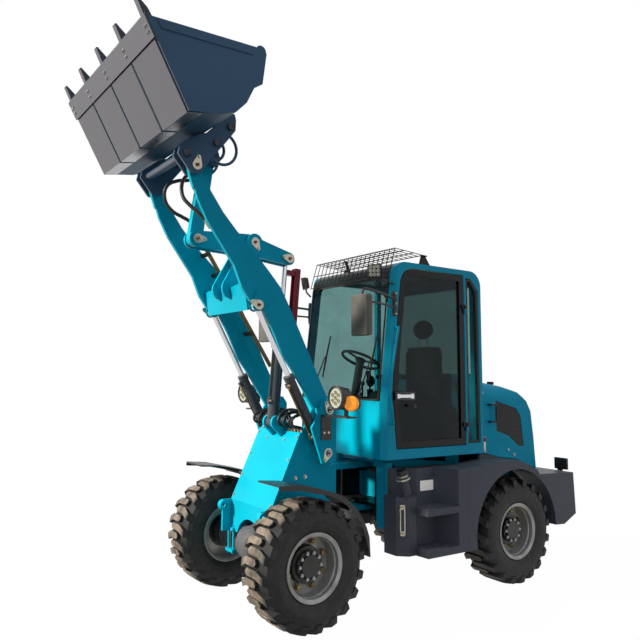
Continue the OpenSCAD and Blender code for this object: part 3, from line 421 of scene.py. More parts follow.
# %% Wheel materials
TREAD, SIDEWALL, RINGS, RING_STEP = (0.408, 0.416), (0.395, 0.3), (0.345, 0.335), 0.011
HUB_EDGE = (0.128, 0.126)


def axle_distance(tree, centre):
    """Distance from the wheel's own axle, in metres."""
    spot = add(tree, "TexCoord")
    off = add(tree, "VectorMath", {0: (spot, 3), 1: centre}, operation="SUBTRACT")
    part = add(tree, "SeparateXYZ", {0: off})
    flat = add(tree, "CombineXYZ", {0: (part, 0), 2: (part, 2)})
    return add(tree, "VectorMath", {0: flat}, operation="LENGTH"), 1


def tyre_rubber(name, centre, dusty):
    """Tread and sidewall rubber of one wheel; dusty is how tan its lug faces are."""
    material, tree = new_material(name)
    far = axle_distance(tree, centre)
    cloud = noise(tree, 90, 5, Roughness=0.6)
    tan = calc(tree, "MULTIPLY", mask(tree, far, *TREAD), mask(tree, cloud, 0.25, 0.6))
    tan = calc(tree, "MULTIPLY", tan, dusty)
    grey = calc(tree, "MULTIPLY", mask(tree, far, *SIDEWALL), mask(tree, cloud, 0.35, 0.8))
    grey = calc(tree, "MULTIPLY", grey, 0.55)
    look = mix(tree, tan, mix(tree, grey, "111213", "5E5A52"), "A3927C")
    rings = calc(tree, "SINE", calc(tree, "MULTIPLY", far, 2 * math.pi / RING_STEP))
    rings = calc(tree, "MULTIPLY", rings, mask(tree, far, *RINGS))
    height = calc(tree, "ADD", rings, noise(tree, 4, 3))
    surface(tree, {"Base Color": look, "Normal": relief(tree, height, 0.5, 0.0012),
                   "Roughness": 0.72, "IOR": 1.5})
    return material


def wheel_enamel(name, centre):
    """Silver pressed wheel with a black hub, by distance from the axle."""
    material, tree = new_material(name)
    fine = noise(tree, 6, 3)
    dirt = calc(tree, "MULTIPLY", mask(tree, noise(tree, 120, 4), 0.35, 0.7), fine)
    look = mix(tree, mask(tree, axle_distance(tree, centre), *HUB_EDGE),
               mix(tree, dirt, "C6C2B8", "857A69"), mix(tree, dirt, "101113", "4A453E"))
    surface(tree, {"Base Color": look, "Roughness": mask(tree, dirt, 0.0, 0.6, 0.36, 0.75),
                   "Normal": relief(tree, fine, 0.15, 0.0004),
                   "Metallic": 0.25, "Coat Weight": 0.2, "Coat Roughness": 0.2})
    return material


def dress(name, material):
    """Puts one material on a CAD node."""
    slots = nodes[name].data.materials
    slots.clear()
    slots.append(material)


for end, dusty in (("front", 0.85), ("rear", 0.3)):
    for side, _ in SIDES:
        name = f"{end}_{side}"
        x, y, _ = rim_middle(name)
        dress("tyre_" + name, tyre_rubber("tyre_rubber_" + name, (x, y, AXLE_Z), dusty))
        dress("rim_" + name, wheel_enamel("wheel_enamel_" + name, (x, y, AXLE_Z)))
print("wheel centres at height", round(AXLE_Z, 3))

# %% [markdown]
# ## Finishes on the frame
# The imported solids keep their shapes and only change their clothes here. A short table
# names each node's finish, and one loop puts it in the node's material slot.

# %% Finishes on the CAD nodes
FINISH = {
    teal: ("hood", "front_frame", "front_panel", "loader_arm", "bellcrank", "tilt_link"),
    cab_teal: ("cab_frame",),
    frame_teal: ("rear_frame",),
    graphite: ("side_boxes", "rear_fenders", "counterweight"),
    bucket_paint: ("bucket", "coupler"),
    edge_steel: ("cutting_edge",),
    black_paint: ("cab_door", "roof_guard", "hood_grilles", "engine_block", "cab_roof"),
    cylinder_paint: ("lift_barrels", "tilt_barrel"),
    chrome: ("lift_rods", "tilt_rod"),
    axle_paint: ("front_axle", "rear_axle"),
    red_paint: ("safety_strut",),
    olive_pipe: ("arm_pipes",),
    plastic: ("front_fenders",),
    lamp_plastic: ("head_lamps", "body_lamps"),
    mirror_plastic: ("mirrors",),
    cab_plastic: ("cab_interior",),
    hose_rubber: ("hoses",),
    glass: ("cab_glass",),
    door_pane: ("door_glass",),
    seat_cloth: ("seat_cushion", "seat_back"),
}
WHEEL_NODES = 8
for finish, names in FINISH.items():
    for name in names:
        dress(name, finish)
print("dressed", sum(len(n) for n in FINISH.values()) + WHEEL_NODES, "of", len(nodes))

# %% [markdown]
# ## Small helpers for modelling
# Each new piece starts from a primitive at its real size and place and is shaped in edit
# mode, the way it would be by hand. An operator works on everything that is selected, so
# `fresh` sets the selection first. `outline` draws a flat panel from its corners and
# pulls it out to its thickness, `panel` does so on a slanting face, `tube` bends a round
# bar along its points, and `settle` ends every piece: it joins the parts, gives them
# their finish and hangs them on a body (or on none, for a hose that runs between
# two).

# %% Modelling helpers


def fresh(*pieces):
    """Object mode with only these pieces selected, and the first of them active."""
    if bpy.context.object and bpy.context.object.mode != "OBJECT":
        bpy.ops.object.mode_set(mode="OBJECT")
    bpy.ops.object.select_all(action="DESELECT")
    for piece in pieces:
        piece.select_set(True)
    if pieces:
        bpy.context.view_layer.objects.active = pieces[0]


def freeze():
    """Writes the place, turn and size of the selected piece into its mesh."""
    bpy.ops.object.transform_apply(location=True, rotation=True, scale=True)
    return bpy.context.object


def joined(parts):
    """The parts as one piece."""
    fresh(*parts)
    if len(parts) > 1:
        bpy.ops.object.join()
    return bpy.context.object


def soften(piece, width_mm, segments=2):
    """Rounds all edges of a piece in edit mode."""
    if width_mm:
        fresh(piece)
        bpy.ops.object.mode_set(mode="EDIT")
        bpy.ops.mesh.select_all(action="SELECT")
        bpy.ops.mesh.bevel(offset=width_mm * MM, segments=segments, affect="EDGES")
        bpy.ops.object.mode_set(mode="OBJECT")
    return piece


def block(low, high, edge_mm=2):
    """A box between two corners in workshop millimetres, with rounded edges."""
    fresh()
    middle = [(a + b) / 2 for a, b in zip(low, high)]
    bpy.ops.mesh.primitive_cube_add(size=1, location=at(*middle))
    bpy.context.object.scale = [abs(b - a) * MM for a, b in zip(low, high)]
    return soften(freeze(), edge_mm)


def outline(corners, push, edge_mm=0.0):
    """A panel with these corners (workshop millimetres), pulled out along push."""
    fresh()
    bpy.ops.mesh.primitive_circle_add(vertices=len(corners), fill_type="NGON")
    piece = bpy.context.object
    for vertex, corner in zip(piece.data.vertices, corners):
        vertex.co = at(*corner)
    bpy.ops.object.mode_set(mode="EDIT")
    bpy.ops.mesh.select_all(action="SELECT")
    bpy.ops.mesh.extrude_region_move(
        TRANSFORM_OT_translate={"value": [p * MM for p in push]})
    bpy.ops.mesh.select_all(action="SELECT")
    bpy.ops.mesh.normals_make_consistent(inside=False)
    bpy.ops.object.mode_set(mode="OBJECT")
    return soften(piece, edge_mm, 1)


def between(start, end):
    """The way from one point to another."""
    return [b - a for a, b in zip(start, end)]


def panel(place, out, box, thick_mm, edge_mm=0.0):
    """A rectangle on a slanting face, whose place(out, across, up) gives its points."""
    a, b, c, d = box
    push = [thick_mm * v for v in between(place(0, 0, 0), place(1, 0, 0))]
    return outline([place(out, *p) for p in ((a, b), (c, b), (c, d), (a, d))], push, edge_mm)


def tube(points, radius_mm, closed=False, smooth=True, beads=None, sides=3):
    """A round bar or hose through points; beads gives each point its share of the radius."""
    fresh()
    bpy.ops.curve.primitive_nurbs_path_add()
    piece = bpy.context.object
    curve = piece.data
    curve.splines.clear()
    line = curve.splines.new("NURBS" if smooth else "POLY")
    line.points.add(len(points) - 1)
    for i, (spot, point) in enumerate(zip(line.points, points)):
        spot.co = (*at(*point), 1)
        spot.radius = beads[i] if beads else 1
    line.use_cyclic_u = closed
    if smooth:
        line.use_endpoint_u = not closed
        line.order_u = 3
    curve.resolution_u = 6
    curve.bevel_depth = radius_mm * MM
    curve.bevel_resolution = sides
    curve.use_fill_caps = not closed
    piece.location = (0, 0, 0)
    bpy.ops.object.convert(target="MESH")
    return bpy.context.object


def bar(points, radius_mm, **options):
    """A tube with straight runs and sharp bends."""
    return tube(points, radius_mm, smooth=False, **options)


def pick_faces(piece, aim, least):
    """Edit mode with only the faces that look along aim selected."""
    bpy.ops.object.mode_set(mode="EDIT")
    shape = bmesh.from_edit_mesh(piece.data)
    for face in shape.faces:
        face.select_set(face.normal.dot(aim) > least)
    bmesh.update_edit_mesh(piece.data)


def disc(middle, axis, radius_mm, depth_mm, dish_mm=0.0, sides=32, edge_mm=0.0):
    """A round knob or lens: its far face is inset and pushed in or out by dish_mm."""
    fresh()
    aim = Vector(axis).normalized()
    bpy.ops.mesh.primitive_cylinder_add(vertices=sides, radius=radius_mm * MM,
                                        depth=depth_mm * MM, location=at(*middle),
                                        rotation=aim.to_track_quat("Z", "Y").to_euler())
    piece = freeze()
    pick_faces(piece, aim, 0.99)
    if dish_mm:
        bpy.ops.mesh.inset(thickness=radius_mm * 0.22 * MM)
        bpy.ops.transform.translate(value=aim * dish_mm * MM)
    bpy.ops.object.mode_set(mode="OBJECT")
    return soften(piece, edge_mm, 1)


def settle(name, parts, finish, body="rear_body", angle=40):
    """Joins the parts to one piece with its finish, at the origin, riding on a body."""
    joined(parts)
    piece = freeze()
    piece.name = piece.data.name = name
    bpy.ops.object.shade_smooth_by_angle(angle=math.radians(angle))
    piece.data.materials.clear()
    piece.data.materials.append(finish)
    if body:
        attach(piece, body)
    return piece


def turned(point, degrees):
    """A point [x, z] turned anticlockwise about the origin."""
    a = math.radians(degrees)
    return (point[0] * math.cos(a) - point[1] * math.sin(a),
            point[0] * math.sin(a) + point[1] * math.cos(a))


def ring_of(count, radius, first=0.0):
    """Points [x, z] evenly round a circle, from the angle first."""
    return [turned((radius, 0), 360 / count * k + first) for k in range(count)]


print("quarter turn of [1, 0]:", [round(v, 3) for v in turned((1, 0), 90)])

# %% [markdown]
# ## Places on the raised arm
# The arm stands up at a steep angle and the bucket is tipped back on its end. Their
# pieces are easier to place in their own drawings: along the arm from its pivot, and
# along the bucket's floor from the tip pin. Two functions turn those places upright.

# %% Places on the arm and the bucket
ARM_PIN, ARM_UP, ARM_LEN, BUCKET_UP = (-340, 1414), 55.75, 2000, 60.4


def on_arm(u, w):
    """Place on the raised arm: u along it from its pivot, w towards its top side."""
    x, z = turned((u, w), ARM_UP)
    return ARM_PIN[0] + x, ARM_PIN[1] + z


TIP_PIN = on_arm(ARM_LEN, 0)


def on_bucket(u, w):
    """Place on the bucket: u along its floor from the tip pin, w up from the floor."""
    x, z = turned((u, w), BUCKET_UP)
    return TIP_PIN[0] + x, TIP_PIN[1] + z


print("tip pin at", [round(v) for v in TIP_PIN])

# %% [markdown]
# ## Bolts
# Hex bolts are the small change of machine building. One head is modelled with its
# washer, chamfered by a bevel, and then copied to every place, so that each body ends up
# with one light mesh of bolts. All its sizes follow from the width across its flats.

# %% Bolts


def bolts(name, places, flats_mm, body="rear_body", finish=zinc):
    """One hex head with a washer, copied to each (point, direction)."""
    pair = []
    for sides, radius, depth, middle, edge in ((6, 0.577, 0.55, 0.375, 0.07),
                                               (14, 0.78, 0.14, 0.07, 0.03)):
        fresh()
        bpy.ops.mesh.primitive_cylinder_add(
            vertices=sides, radius=flats_mm * radius * MM, depth=flats_mm * depth * MM,
            location=(0, 0, flats_mm * middle * MM))
        pair.append(soften(bpy.context.object, flats_mm * edge, 1))
    joined(pair)
    head = freeze()
    copies = []
    for point, way in places:
        copy = head.copy()
        copy.data = head.data.copy()
        bpy.context.scene.collection.objects.link(copy)
        copy.rotation_euler = Vector(way).to_track_quat("Z", "Y").to_euler()
        copy.location = at(*point)
        copies.append(copy)
    bpy.data.objects.remove(head)
    for copy in copies:
        fresh(copy)
        freeze()
    return settle(name, copies, finish, body, 30)


PANEL_TOP, PANEL_FOOT, PANEL_OUT = (-158, 1246), (85, 715), (0.909, 0, 0.416)
WALL_Y, TOWER_Y, HOOD_Y = 289, 398, 501


def on_panel(share, y):
    """Place on the sloping front panel: share runs from its top edge to its foot."""
    return (PANEL_TOP[0] + share * (PANEL_FOOT[0] - PANEL_TOP[0]), y,
            PANEL_TOP[1] + share * (PANEL_FOOT[1] - PANEL_TOP[1]))


def on_both(y, places):
    """Places [x, z] on the left and right faces at y, looking outwards."""
    return [((x, y * s, z), (0, s, 0)) for s in BOTH for x, z in places]


panel_rows = ((268, (0.06, 0.36, 0.66, 0.94)), (120, (0.12,)))
panel_places = [(on_panel(share, y * s), PANEL_OUT)
                for y, shares in panel_rows for s in BOTH for share in shares]
wall_places = (on_both(WALL_Y, ((-205, 930), (-120, 925), (-25, 640), (55, 640)))
               + on_both(TOWER_Y, ((-330, 1250), (-290, 1250))))
hood_places = on_both(HOOD_Y, ((-2217, 1046), (-2295, 1000), (-1895, 1540), (-1895, 1090)))
bolts("front_panel_bolts", panel_places, 13, "front_body")
bolts("frame_wall_bolts", wall_places, 19, "front_body")
bolts("hood_bolts", hood_places, 15)
print("bolts:", len(panel_places) + len(wall_places) + len(hood_places))

# %% [markdown]
# ## Pin locks
# Each hinge pin is kept from turning by a teardrop plate of zinc-plated steel with one
# bolt, and a red plastic cap covers its grease nipple. The frame already carries plain
# plates, so these sit over them, a little proud all round.

# %% Pin locks
LOCK_R, LOCK_TIP_R, LOCK_LEN = 35.5, 15.5, 56


def arc(middle, radius, start, sweep, steps):
    """Points [x, z] along an arc."""
    turns = [math.radians(start + i * sweep / steps) for i in range(steps + 1)]
    return [(middle[0] + radius * math.cos(a), middle[1] + radius * math.sin(a)) for a in turns]


def teardrop(pin, face_y, angle, sign):
    """The plate round a pin [x, z] on the face at face_y, its small end at angle."""
    small = arc(pin, LOCK_LEN, angle, 0, 1)[0]
    edge = arc(pin, LOCK_R, angle + 80, 200, 12) + arc(small, LOCK_TIP_R, angle - 80, 160, 8)
    plate = outline([(x, face_y * sign, z) for x, z in edge], (0, 7.5 * sign, 0), 1.0)
    stud = disc((pin[0], (face_y + 9) * sign, pin[1]), (0, sign, 0), 17, 6, -2, 20)
    return [plate, stud], (small[0], (face_y + 7) * sign, small[1])


def pin_locks(name, table, body):
    """Locks for a table of (pin, face, angle), with their bolts and red caps."""
    plates, heads, caps = [], [], []
    for pin, face_y, angle in table:
        for sign in BOTH:
            parts, head = teardrop(pin, face_y, angle, sign)
            plates += parts
            heads.append((head, (0, sign, 0)))
            caps.append(disc((pin[0], (face_y + 17) * sign, pin[1]), (0, sign, 0), 8, 11, 3, 14))
    settle(name, plates, zinc, body)
    bolts(name + "_bolts", heads, 15, body)
    settle(name + "_grease_caps", caps, red_cap, body)


CRANK_PIN, LIFT_EYE = on_arm(1303, 305), on_arm(952, -90)
LIFT_BASE, TILT_BASE, TILT_EYE = (-330, 1103), (-100, 1307), (-225, 2577)
pin_locks("frame_pin_locks", [(ARM_PIN, TOWER_Y, 60), (LIFT_BASE, TOWER_Y, -60)], "front_body")
pin_locks("arm_pin_locks", [(CRANK_PIN, 86, 240), (LIFT_EYE, 377.3, 20)], "arm")
pin_locks("crank_end_locks", [((607, 2636), 60.3, 180), ((-193, 2576), 60.3, 10)], "crank")
pin_locks("tip_pin_locks", [(TIP_PIN, 388, 100)], "bucket_body")
print("crank pin at", [round(v) for v in CRANK_PIN])

# %% [markdown]
# ## Lamps
# The round head lamp holds seven small LEDs behind a clear lens, and its outer end is an
# amber marker. Each LED is a small dished disc, and the rim round the lens is a torus.

# %% Head lamps
AHEAD = (1, 0, 0)
LAMP_X, LAMP_Y, LAMP_Z, MARKER_Z = -213, 650, 1510, 1474
for side, sign in SIDES:
    y = LAMP_Y * sign
    # the lamp's white face glows faintly though the lamp is off: painted light
    face = disc((LAMP_X + 3, y, LAMP_Z), AHEAD, 71, 8, -1.5, 40)
    leds = [disc((LAMP_X + 9, y + a, LAMP_Z + b), AHEAD, 13, 6, -5, 20)
            for a, b in [(0, 0)] + ring_of(6, 38, 30)]
    cover = disc((LAMP_X + 17, y, LAMP_Z), AHEAD, 73, 5, 2.5, 40)
    fresh()
    bpy.ops.mesh.primitive_torus_add(major_segments=44, minor_segments=10,
                                     major_radius=0.078, minor_radius=0.009,
                                     location=at(LAMP_X + 8, y, LAMP_Z),
                                     rotation=(0, math.pi / 2, 0))
    ring = freeze()
    aim = (0.82, 0.55 * sign, 0)
    marker = disc((-272, y + 92 * sign, MARKER_Z), aim, 52, 26, 7, 36, 2)
    shell = [disc((-296, y + 76 * sign, MARKER_Z), aim, 55, 44, 0, 36, 6),
             block((-330, y - 40 + 20 * sign, 1424), (-268, y + 40 + 20 * sign, 1520), 10)]
    for part_name, parts, finish in (
            ("head_lamp_face", [face], painted_glow_white), ("head_lamp_leds", leds, reflector),
            ("head_lamp_lens", [cover], lens), ("head_lamp_rim", [ring], lamp_plastic),
            ("marker_lamp", [marker], amber), ("marker_lamp_shell", shell, lamp_plastic)):
        settle(f"{part_name}_{side}", parts, finish, "front_body")
print("head lamps at", LAMP_Y, LAMP_Z)

# %% [markdown]
# ## Work lamps and tail lamps
# The square work lamps on the cab roof are grids of nine LEDs in a finned case. They hang
# on a bent tube and look down and outwards, so a small function turns places on the lamp
# into places on the machine. A tail lamp is a red and an amber lens side by side.

# %% Work lamps and tail lamps
LEAN, SWING = math.radians(10), math.radians(34)
CASE, LED_GAP, TAIL_X = 50, 30, -2802
for side, sign in SIDES:
    swing = SWING * sign

    def lamp_spot(forward, across, up):
        """Place on a work lamp, which leans down and swings outwards on its bracket."""
        x = forward * math.cos(LEAN) + up * math.sin(LEAN)
        z = -forward * math.sin(LEAN) + up * math.cos(LEAN)
        return (-717 + x * math.cos(swing) - across * math.sin(swing),
                480 * sign + x * math.sin(swing) + across * math.cos(swing), 2482 + z)

    aim = between(lamp_spot(0, 0, 0), lamp_spot(1, 0, 0))
    lamp = [panel(lamp_spot, -20, (-CASE, -CASE, CASE, CASE), 44, 5)]
    lamp += [panel(lamp_spot, -34, (a, -42, a + 4, 42), 16) for a in range(-44, 42, 12)]
    lamp += [panel(lamp_spot, 22, box, 7, 1.0) for box in
             ((-CASE, -CASE, CASE, -44), (-CASE, 44, CASE, CASE), (-CASE, -CASE, -44, CASE),
              (44, -CASE, CASE, CASE))]
    lamp += [bar([lamp_spot(0, 54 * s, -20), lamp_spot(0, 54 * s, -62)], 5) for s in BOTH]
    lamp.append(bar([lamp_spot(0, -56, -62), lamp_spot(0, 56, -62)], 6))
    lamp.append(tube([lamp_spot(0, 0, -62), (-745, 500 * sign, 2412), (-800, 540 * sign, 2392),
                      (-836, 560 * sign, 2380)], 8))
    # the LEDs glow faintly though the lamp is off: painted light
    leds = [disc(lamp_spot(25, a, b), aim, 13.5, 6, -4, 18)
            for a in (-LED_GAP, 0, LED_GAP) for b in (-LED_GAP, 0, LED_GAP)]
    cover = panel(lamp_spot, 28.5, (-44, -44, 44, 44), 2)
    tail = [block((-2804, 560 * sign, 860), (-2780, 690 * sign, 960), 6),
            block((-2782, 600 * sign, 850), (-2764, 650 * sign, 900), 3)]
    red_half, amber_half = [block((TAIL_X - 13, low * sign, 870), (TAIL_X, high * sign, 950), 3)
                            for low, high in ((570, 624), (628, 680))]
    for part_name, parts, finish in (
            ("work_lamp", lamp, lamp_plastic), ("work_lamp_leds", leds, painted_glow_white),
            ("work_lamp_lens", [cover], lens), ("tail_lamp", tail, lamp_plastic),
            ("tail_lamp_red", [red_half], red_lens), ("tail_lamp_amber", [amber_half], amber)):
        settle(f"{part_name}_{side}", parts, finish)
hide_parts("body_lamps")
print("work lamps swung by", round(math.degrees(SWING)), "degrees")

# %% [markdown]
# ## Cab glazing details
# The windshield sits in a rubber gasket, a black strip that shows all round the glass. The
# quarter windows have the same border: a closed tube that follows their outline.
# Two wipers rest on the windshield: each is a thin arm with a hinge at its foot and a
# blade held in a bow. They are tubes a few millimetres off the glass, along its slope.

# %% Gaskets and wipers
SCREEN_FOOT, SCREEN_TOP, SCREEN_Y, CAB_Y = (-727, 1478), (-832, 2440), 503, 560
QUARTER = ((-1662, 1144), (-1662, 2470), (-1684, 2488), (-1712, 2484), (-1786, 2392),
           (-1788, 1144))
SCREEN_OUT = Vector((SCREEN_TOP[1] - SCREEN_FOOT[1], 0, SCREEN_FOOT[0] - SCREEN_TOP[0]))
SCREEN_OUT.normalize()


def on_screen(up, y, off=0.0):
    """Place on the windshield: up is 0 at its foot and 1 at its top, off in front of it."""
    dx, dz = SCREEN_TOP[0] - SCREEN_FOOT[0], SCREEN_TOP[1] - SCREEN_FOOT[1]
    span = math.hypot(dx, dz)
    return (SCREEN_FOOT[0] + up * dx + off * dz / span, y,
            SCREEN_FOOT[1] + up * dz - off * dx / span)


gasket = [bar([on_screen(up, SCREEN_Y * s, 3) for up in (0.012, 0.5, 0.988)], 7) for s in BOTH]
gasket += [bar([on_screen(up, y, 3) for y in (-SCREEN_Y, 0, SCREEN_Y)], 7)
           for up in (0.008, 0.992)]
settle("windshield_gasket", gasket, seal_rubber)
borders = [bar([(x, s * (CAB_Y - 12), z) for x, z in QUARTER], 13, closed=True, sides=10)
           for s in BOTH]
settle("quarter_window_gaskets", borders, seal_rubber)
wipers = []
BLADE = 0.36
for foot, tip in (((0.045, 300), (0.34, 405)), ((0.045, -330), (0.36, -200))):
    wipers.append(disc(on_screen(*foot, 16), SCREEN_OUT, 15, 26, 4, 20, 2))
    knee = [(a + b) / 2 for a, b in zip(foot, tip)]
    wipers.append(tube([on_screen(*foot, 27), on_screen(*knee, 30), on_screen(*tip, 24)], 5.5))
    low, high = (tip[0] - BLADE / 2, tip[1] - 30), (tip[0] + BLADE / 2, tip[1] + 30)
    wipers.append(tube([on_screen(*low, 10), on_screen(*tip, 19), on_screen(*high, 10)], 4))
    wipers.append(bar([on_screen(*low, 6), on_screen(*high, 6)], 4.5))
settle("windshield_wipers", wipers, plastic)
print("gasket parts", len(gasket), "wiper parts", len(wipers))

# %% [markdown]
# ## Mirrors
# Each mirror is a moulded clam shell: a box with a bulging back, all its corners rounded,
# and a flat glass at the rear. Its arm is a bent black tube that leaves the pillar, runs
# forward and loops over the top of the housing. The shell starts as a cube, its front
# face is inset and pushed out, and a subdivision surface rounds it.

# %% Mirrors
MIRROR_Y, MIRROR_Z, MIRROR_SIZE = 660, 2103, (0.058, 0.184, 0.304)
GLASS_Y, GLASS_Z, RIM_Y, RIM_Z = 77, 136, 78, 138
PILLAR_X, ARM_TOP, ARM_LOW = -832, 2262, 2192
for side, sign in SIDES:
    y = MIRROR_Y * sign
    fresh()
    bpy.ops.mesh.primitive_cube_add(size=1, location=at(-427, y, MIRROR_Z))
    bpy.context.object.scale = MIRROR_SIZE
    shell = freeze()
    pick_faces(shell, Vector(AHEAD), 0.9)
    bpy.ops.mesh.inset(thickness=0.03)
    bpy.ops.transform.translate(value=(0.008, 0, 0))
    bpy.ops.mesh.select_all(action="SELECT")
    bpy.ops.mesh.bevel(offset=0.014, segments=2, affect="EDGES")
    bpy.ops.object.mode_set(mode="OBJECT")
    rounder = shell.modifiers.new("rounder", "SUBSURF")
    rounder.levels = rounder.render_levels = 2
    bpy.ops.object.modifier_apply(modifier="rounder")
    rim = bar([(-458, y + RIM_Y * a, MIRROR_Z + RIM_Z * b) for a, b in
               ((-1, -1), (1, -1), (1, 1), (-1, 1))], 5, closed=True)
    settle(f"mirror_shell_{side}", [shell, rim], mirror_plastic)
    pane = block((-461, y - GLASS_Y, MIRROR_Z - GLASS_Z), (-457, y + GLASS_Y, MIRROR_Z + GLASS_Z),
                 1)
    settle(f"mirror_glass_{side}", [pane], mirror_glass)
    parts = [tube([(x, across * sign, z) for x, across, z in path], radius) for path, radius in (
        (((-838, 566, ARM_TOP), (-790, 590, 2268), (-640, 640, 2282), (-500, 668, 2297),
          (-452, 668, 2300), (-437, 662, 2285), (-434, 660, 2250)), 10),
        (((-838, 566, ARM_LOW), (-780, 594, 2196), (-620, 650, 2204), (-500, 668, 2206),
          (-462, 668, 2200)), 8))]
    parts.append(bar([(PILLAR_X, across * sign, z) for across, z in
                      ((572, 2150), (574, 2226), (572, 2300))], 9))
    parts.append(block((-866, 558 * sign, 2128), (-820, 568 * sign, 2322), 2))
    parts += [disc((PILLAR_X, 574 * sign, z), (0, 0, 1), 14, 22, 0, 18, 2)
              for z in (ARM_TOP, ARM_LOW)]
    settle(f"mirror_arm_{side}", parts, plastic)
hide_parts("mirrors")
bolts("mirror_bolts", on_both(569, ((-850, 2145), (-850, 2225), (-850, 2305))), 11)
print("mirror housings done")

# %% [markdown]
# ## Door furniture
# The cab door has a pull handle with a chromed grip on a black plate, and a round lock
# below it. The grip and its two bosses are rounded blocks joined to one piece.

# %% Door handle and lock
handle = [block((-1000, 594, 1504), (-840, 606, 1530), 5),
          block((-1004, 586, 1498), (-968, 602, 1536), 4),
          block((-862, 588, 1500), (-830, 604, 1534), 4)]
settle("door_handle", handle, chrome, "door")
plate = block((-1022, 589, 1486), (-818, 592, 1548), 1)
settle("door_handle_plate", [plate], lamp_plastic, "door")
lock = disc((-1016, 594, 1440), (0, 1, 0), 14, 12, -3, 24, 1)
settle("door_lock", [lock], lamp_plastic, "door")
print("door furniture done")

# %% [markdown]
# ## Hydraulic hoses
# The pump's oil reaches the arm cylinders through rubber hoses that loop over the deck
# behind the front panel. Their plaited guard is modelled as beads along the curve: each
# second point of the curve is a little thicker. Every hose ends in a hexagonal fitting.
# Each path is written once for the left side and mirrored for the right.

# %% Deck hoses and fittings
FINE = 24


def corrugated(points, radius_mm, step_mm=7.0, deep=0.16):
    """A hose with rings: the smooth path is cut to equal steps of alternating thickness."""
    ends = [Vector(p) for p in points]
    dense = []
    for i in range(len(ends) - 1):
        before, after = ends[max(i - 1, 0)], ends[min(i + 2, len(ends) - 1)]
        a, b = ends[i], ends[i + 1]
        for k in range(FINE):
            t = k / FINE
            dense.append(0.5 * (2 * a + (b - before) * t
                                + (2 * before - 5 * a + 4 * b - after) * t * t
                                + (3 * a - before - 3 * b + after) * t ** 3))
    dense.append(ends[-1])
    path, rest = [dense[0]], 0.0
    for a, b in zip(dense, dense[1:]):
        part = (b - a).length
        while rest + part >= step_mm:
            a = a + (b - a) * ((step_mm - rest) / part)
            part = (b - a).length
            rest = 0.0
            path.append(a)
        rest += part
    beads = [1 + deep * (i % 2) for i in range(len(path))]
    return bar([tuple(p) for p in path], radius_mm, beads=beads, sides=2)


DECK, REAR_PORT, FRONT_PORT = 1235, -340, -188
# one hose per row: how far left, how far forward its loop reaches, how high it rises
DECK_HOSES = ((94, -92, 1404), (137, -104, 1384), (180, -88, 1398), (223, -108, 1372),
              (266, -96, 1388))
deck_hoses, fittings = [], []
for sign in BOTH:
    for left, reach, high in DECK_HOSES:
        y, wander = left * sign, (left + 6 * math.sin(left)) * sign
        deck_hoses.append(corrugated(
            [(FRONT_PORT, y, DECK + 26), (-176, y, DECK + 44), (reach - 8, y, DECK + 62),
             (reach, wander, 1338), (reach - 42, wander, high - 16), (reach - 118, wander, high),
             (reach - 196, y, high - 24), (-336, y, 1300), (REAR_PORT, y, DECK + 24)], 9.5))
        for x in (FRONT_PORT, REAR_PORT):
            fittings.append(disc((x, y, DECK + 12), (0, 0, 1), 14, 24, 0, 6, 1.5))
            fittings.append(disc((x, y, DECK + 27), (0, 0, 1), 10.8, 12, 0, 18, 1))
settle("deck_hoses", deck_hoses, hose_rubber, "front_body")
settle("deck_hose_fittings", fittings, brass, "front_body")
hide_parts("hoses")
print("deck hoses", len(deck_hoses), "fittings", len(fittings))

# %% [markdown]
# ## Cylinder fittings
# A double-acting cylinder has a port at each end. A thin steel pipe runs along the barrel
# from one port block to the other, held by brass union nuts and closed by brass plugs.
# Each pipe is a tube parallel to the cylinder's axis, so it is placed with a small
# function that measures along the axis and away from it.

# %% Lift and tilt cylinder fittings
PIPE_FROM, PIPE_TO, PIPE_OFF, PIPE_OUT = 175, 564, 9, 8
for name, base, eye, lanes, half, body in (
        ("lift", LIFT_BASE, LIFT_EYE, (337, -337), 35, "lift_barrels"),
        ("tilt", TILT_BASE, TILT_EYE, (0,), 45, "tilt_barrel")):
    dx, dz = between(base, eye)
    span = math.hypot(dx, dz)

    def beside(far, off, y):
        """Place beside the cylinder: far from its base pin, off to its front, at width y."""
        return (base[0] + (dx * far + dz * off) / span, y,
                base[1] + (dz * far - dx * off) / span)

    along = between(beside(0, 0, 0), beside(1, 0, 0))
    pipes, nuts = [], []
    for lane in lanes:
        outer = -1 if lane < 0 else 1
        y = lane + outer * PIPE_OUT
        off = half + PIPE_OFF
        pipes.append(bar([beside(PIPE_FROM, off, y), beside(PIPE_TO - 1, off, y)], 7.5))
        for far in (PIPE_FROM + 6, PIPE_TO - 6):
            nuts.append(disc(beside(far, off, y), along, 10.5, 14, 0, 6, 1))
        for far in (PIPE_FROM - 18, PIPE_TO + 17):
            for out, radius, depth, dish, edge in ((13, 12, 16, 2, 1.5), (21, 7, 8, 1, 1)):
                nuts.append(disc(beside(far, half + 7, y + outer * out), (0, outer, 0),
                                 radius, depth, dish, 6, edge))
    settle(f"{name}_cylinder_pipes", pipes, olive_pipe, body)
    settle(f"{name}_cylinder_nuts", nuts, brass, body)
print("cylinder pipes done")

# %% [markdown]
# ## Hoses to the coupler
# Two hoses feed the quick coupler's lock cylinder. They leave the arm, swing out in wide
# loops and return to the coupler, long enough for the bucket to roll back. Each hose is
# one ribbed tube. Its ends belong to different bodies, so it rides on neither of them.

# %% Coupler hoses


def bucket_point(x, z, y):
    """A point of the bucket's own drawing at the width y."""
    u, w = on_bucket(x, z)
    return (u, y, w)


def arm_point(far, out, y):
    """A point of the arm's own drawing at the width y."""
    u, w = on_arm(far, out)
    return (u, y, w)


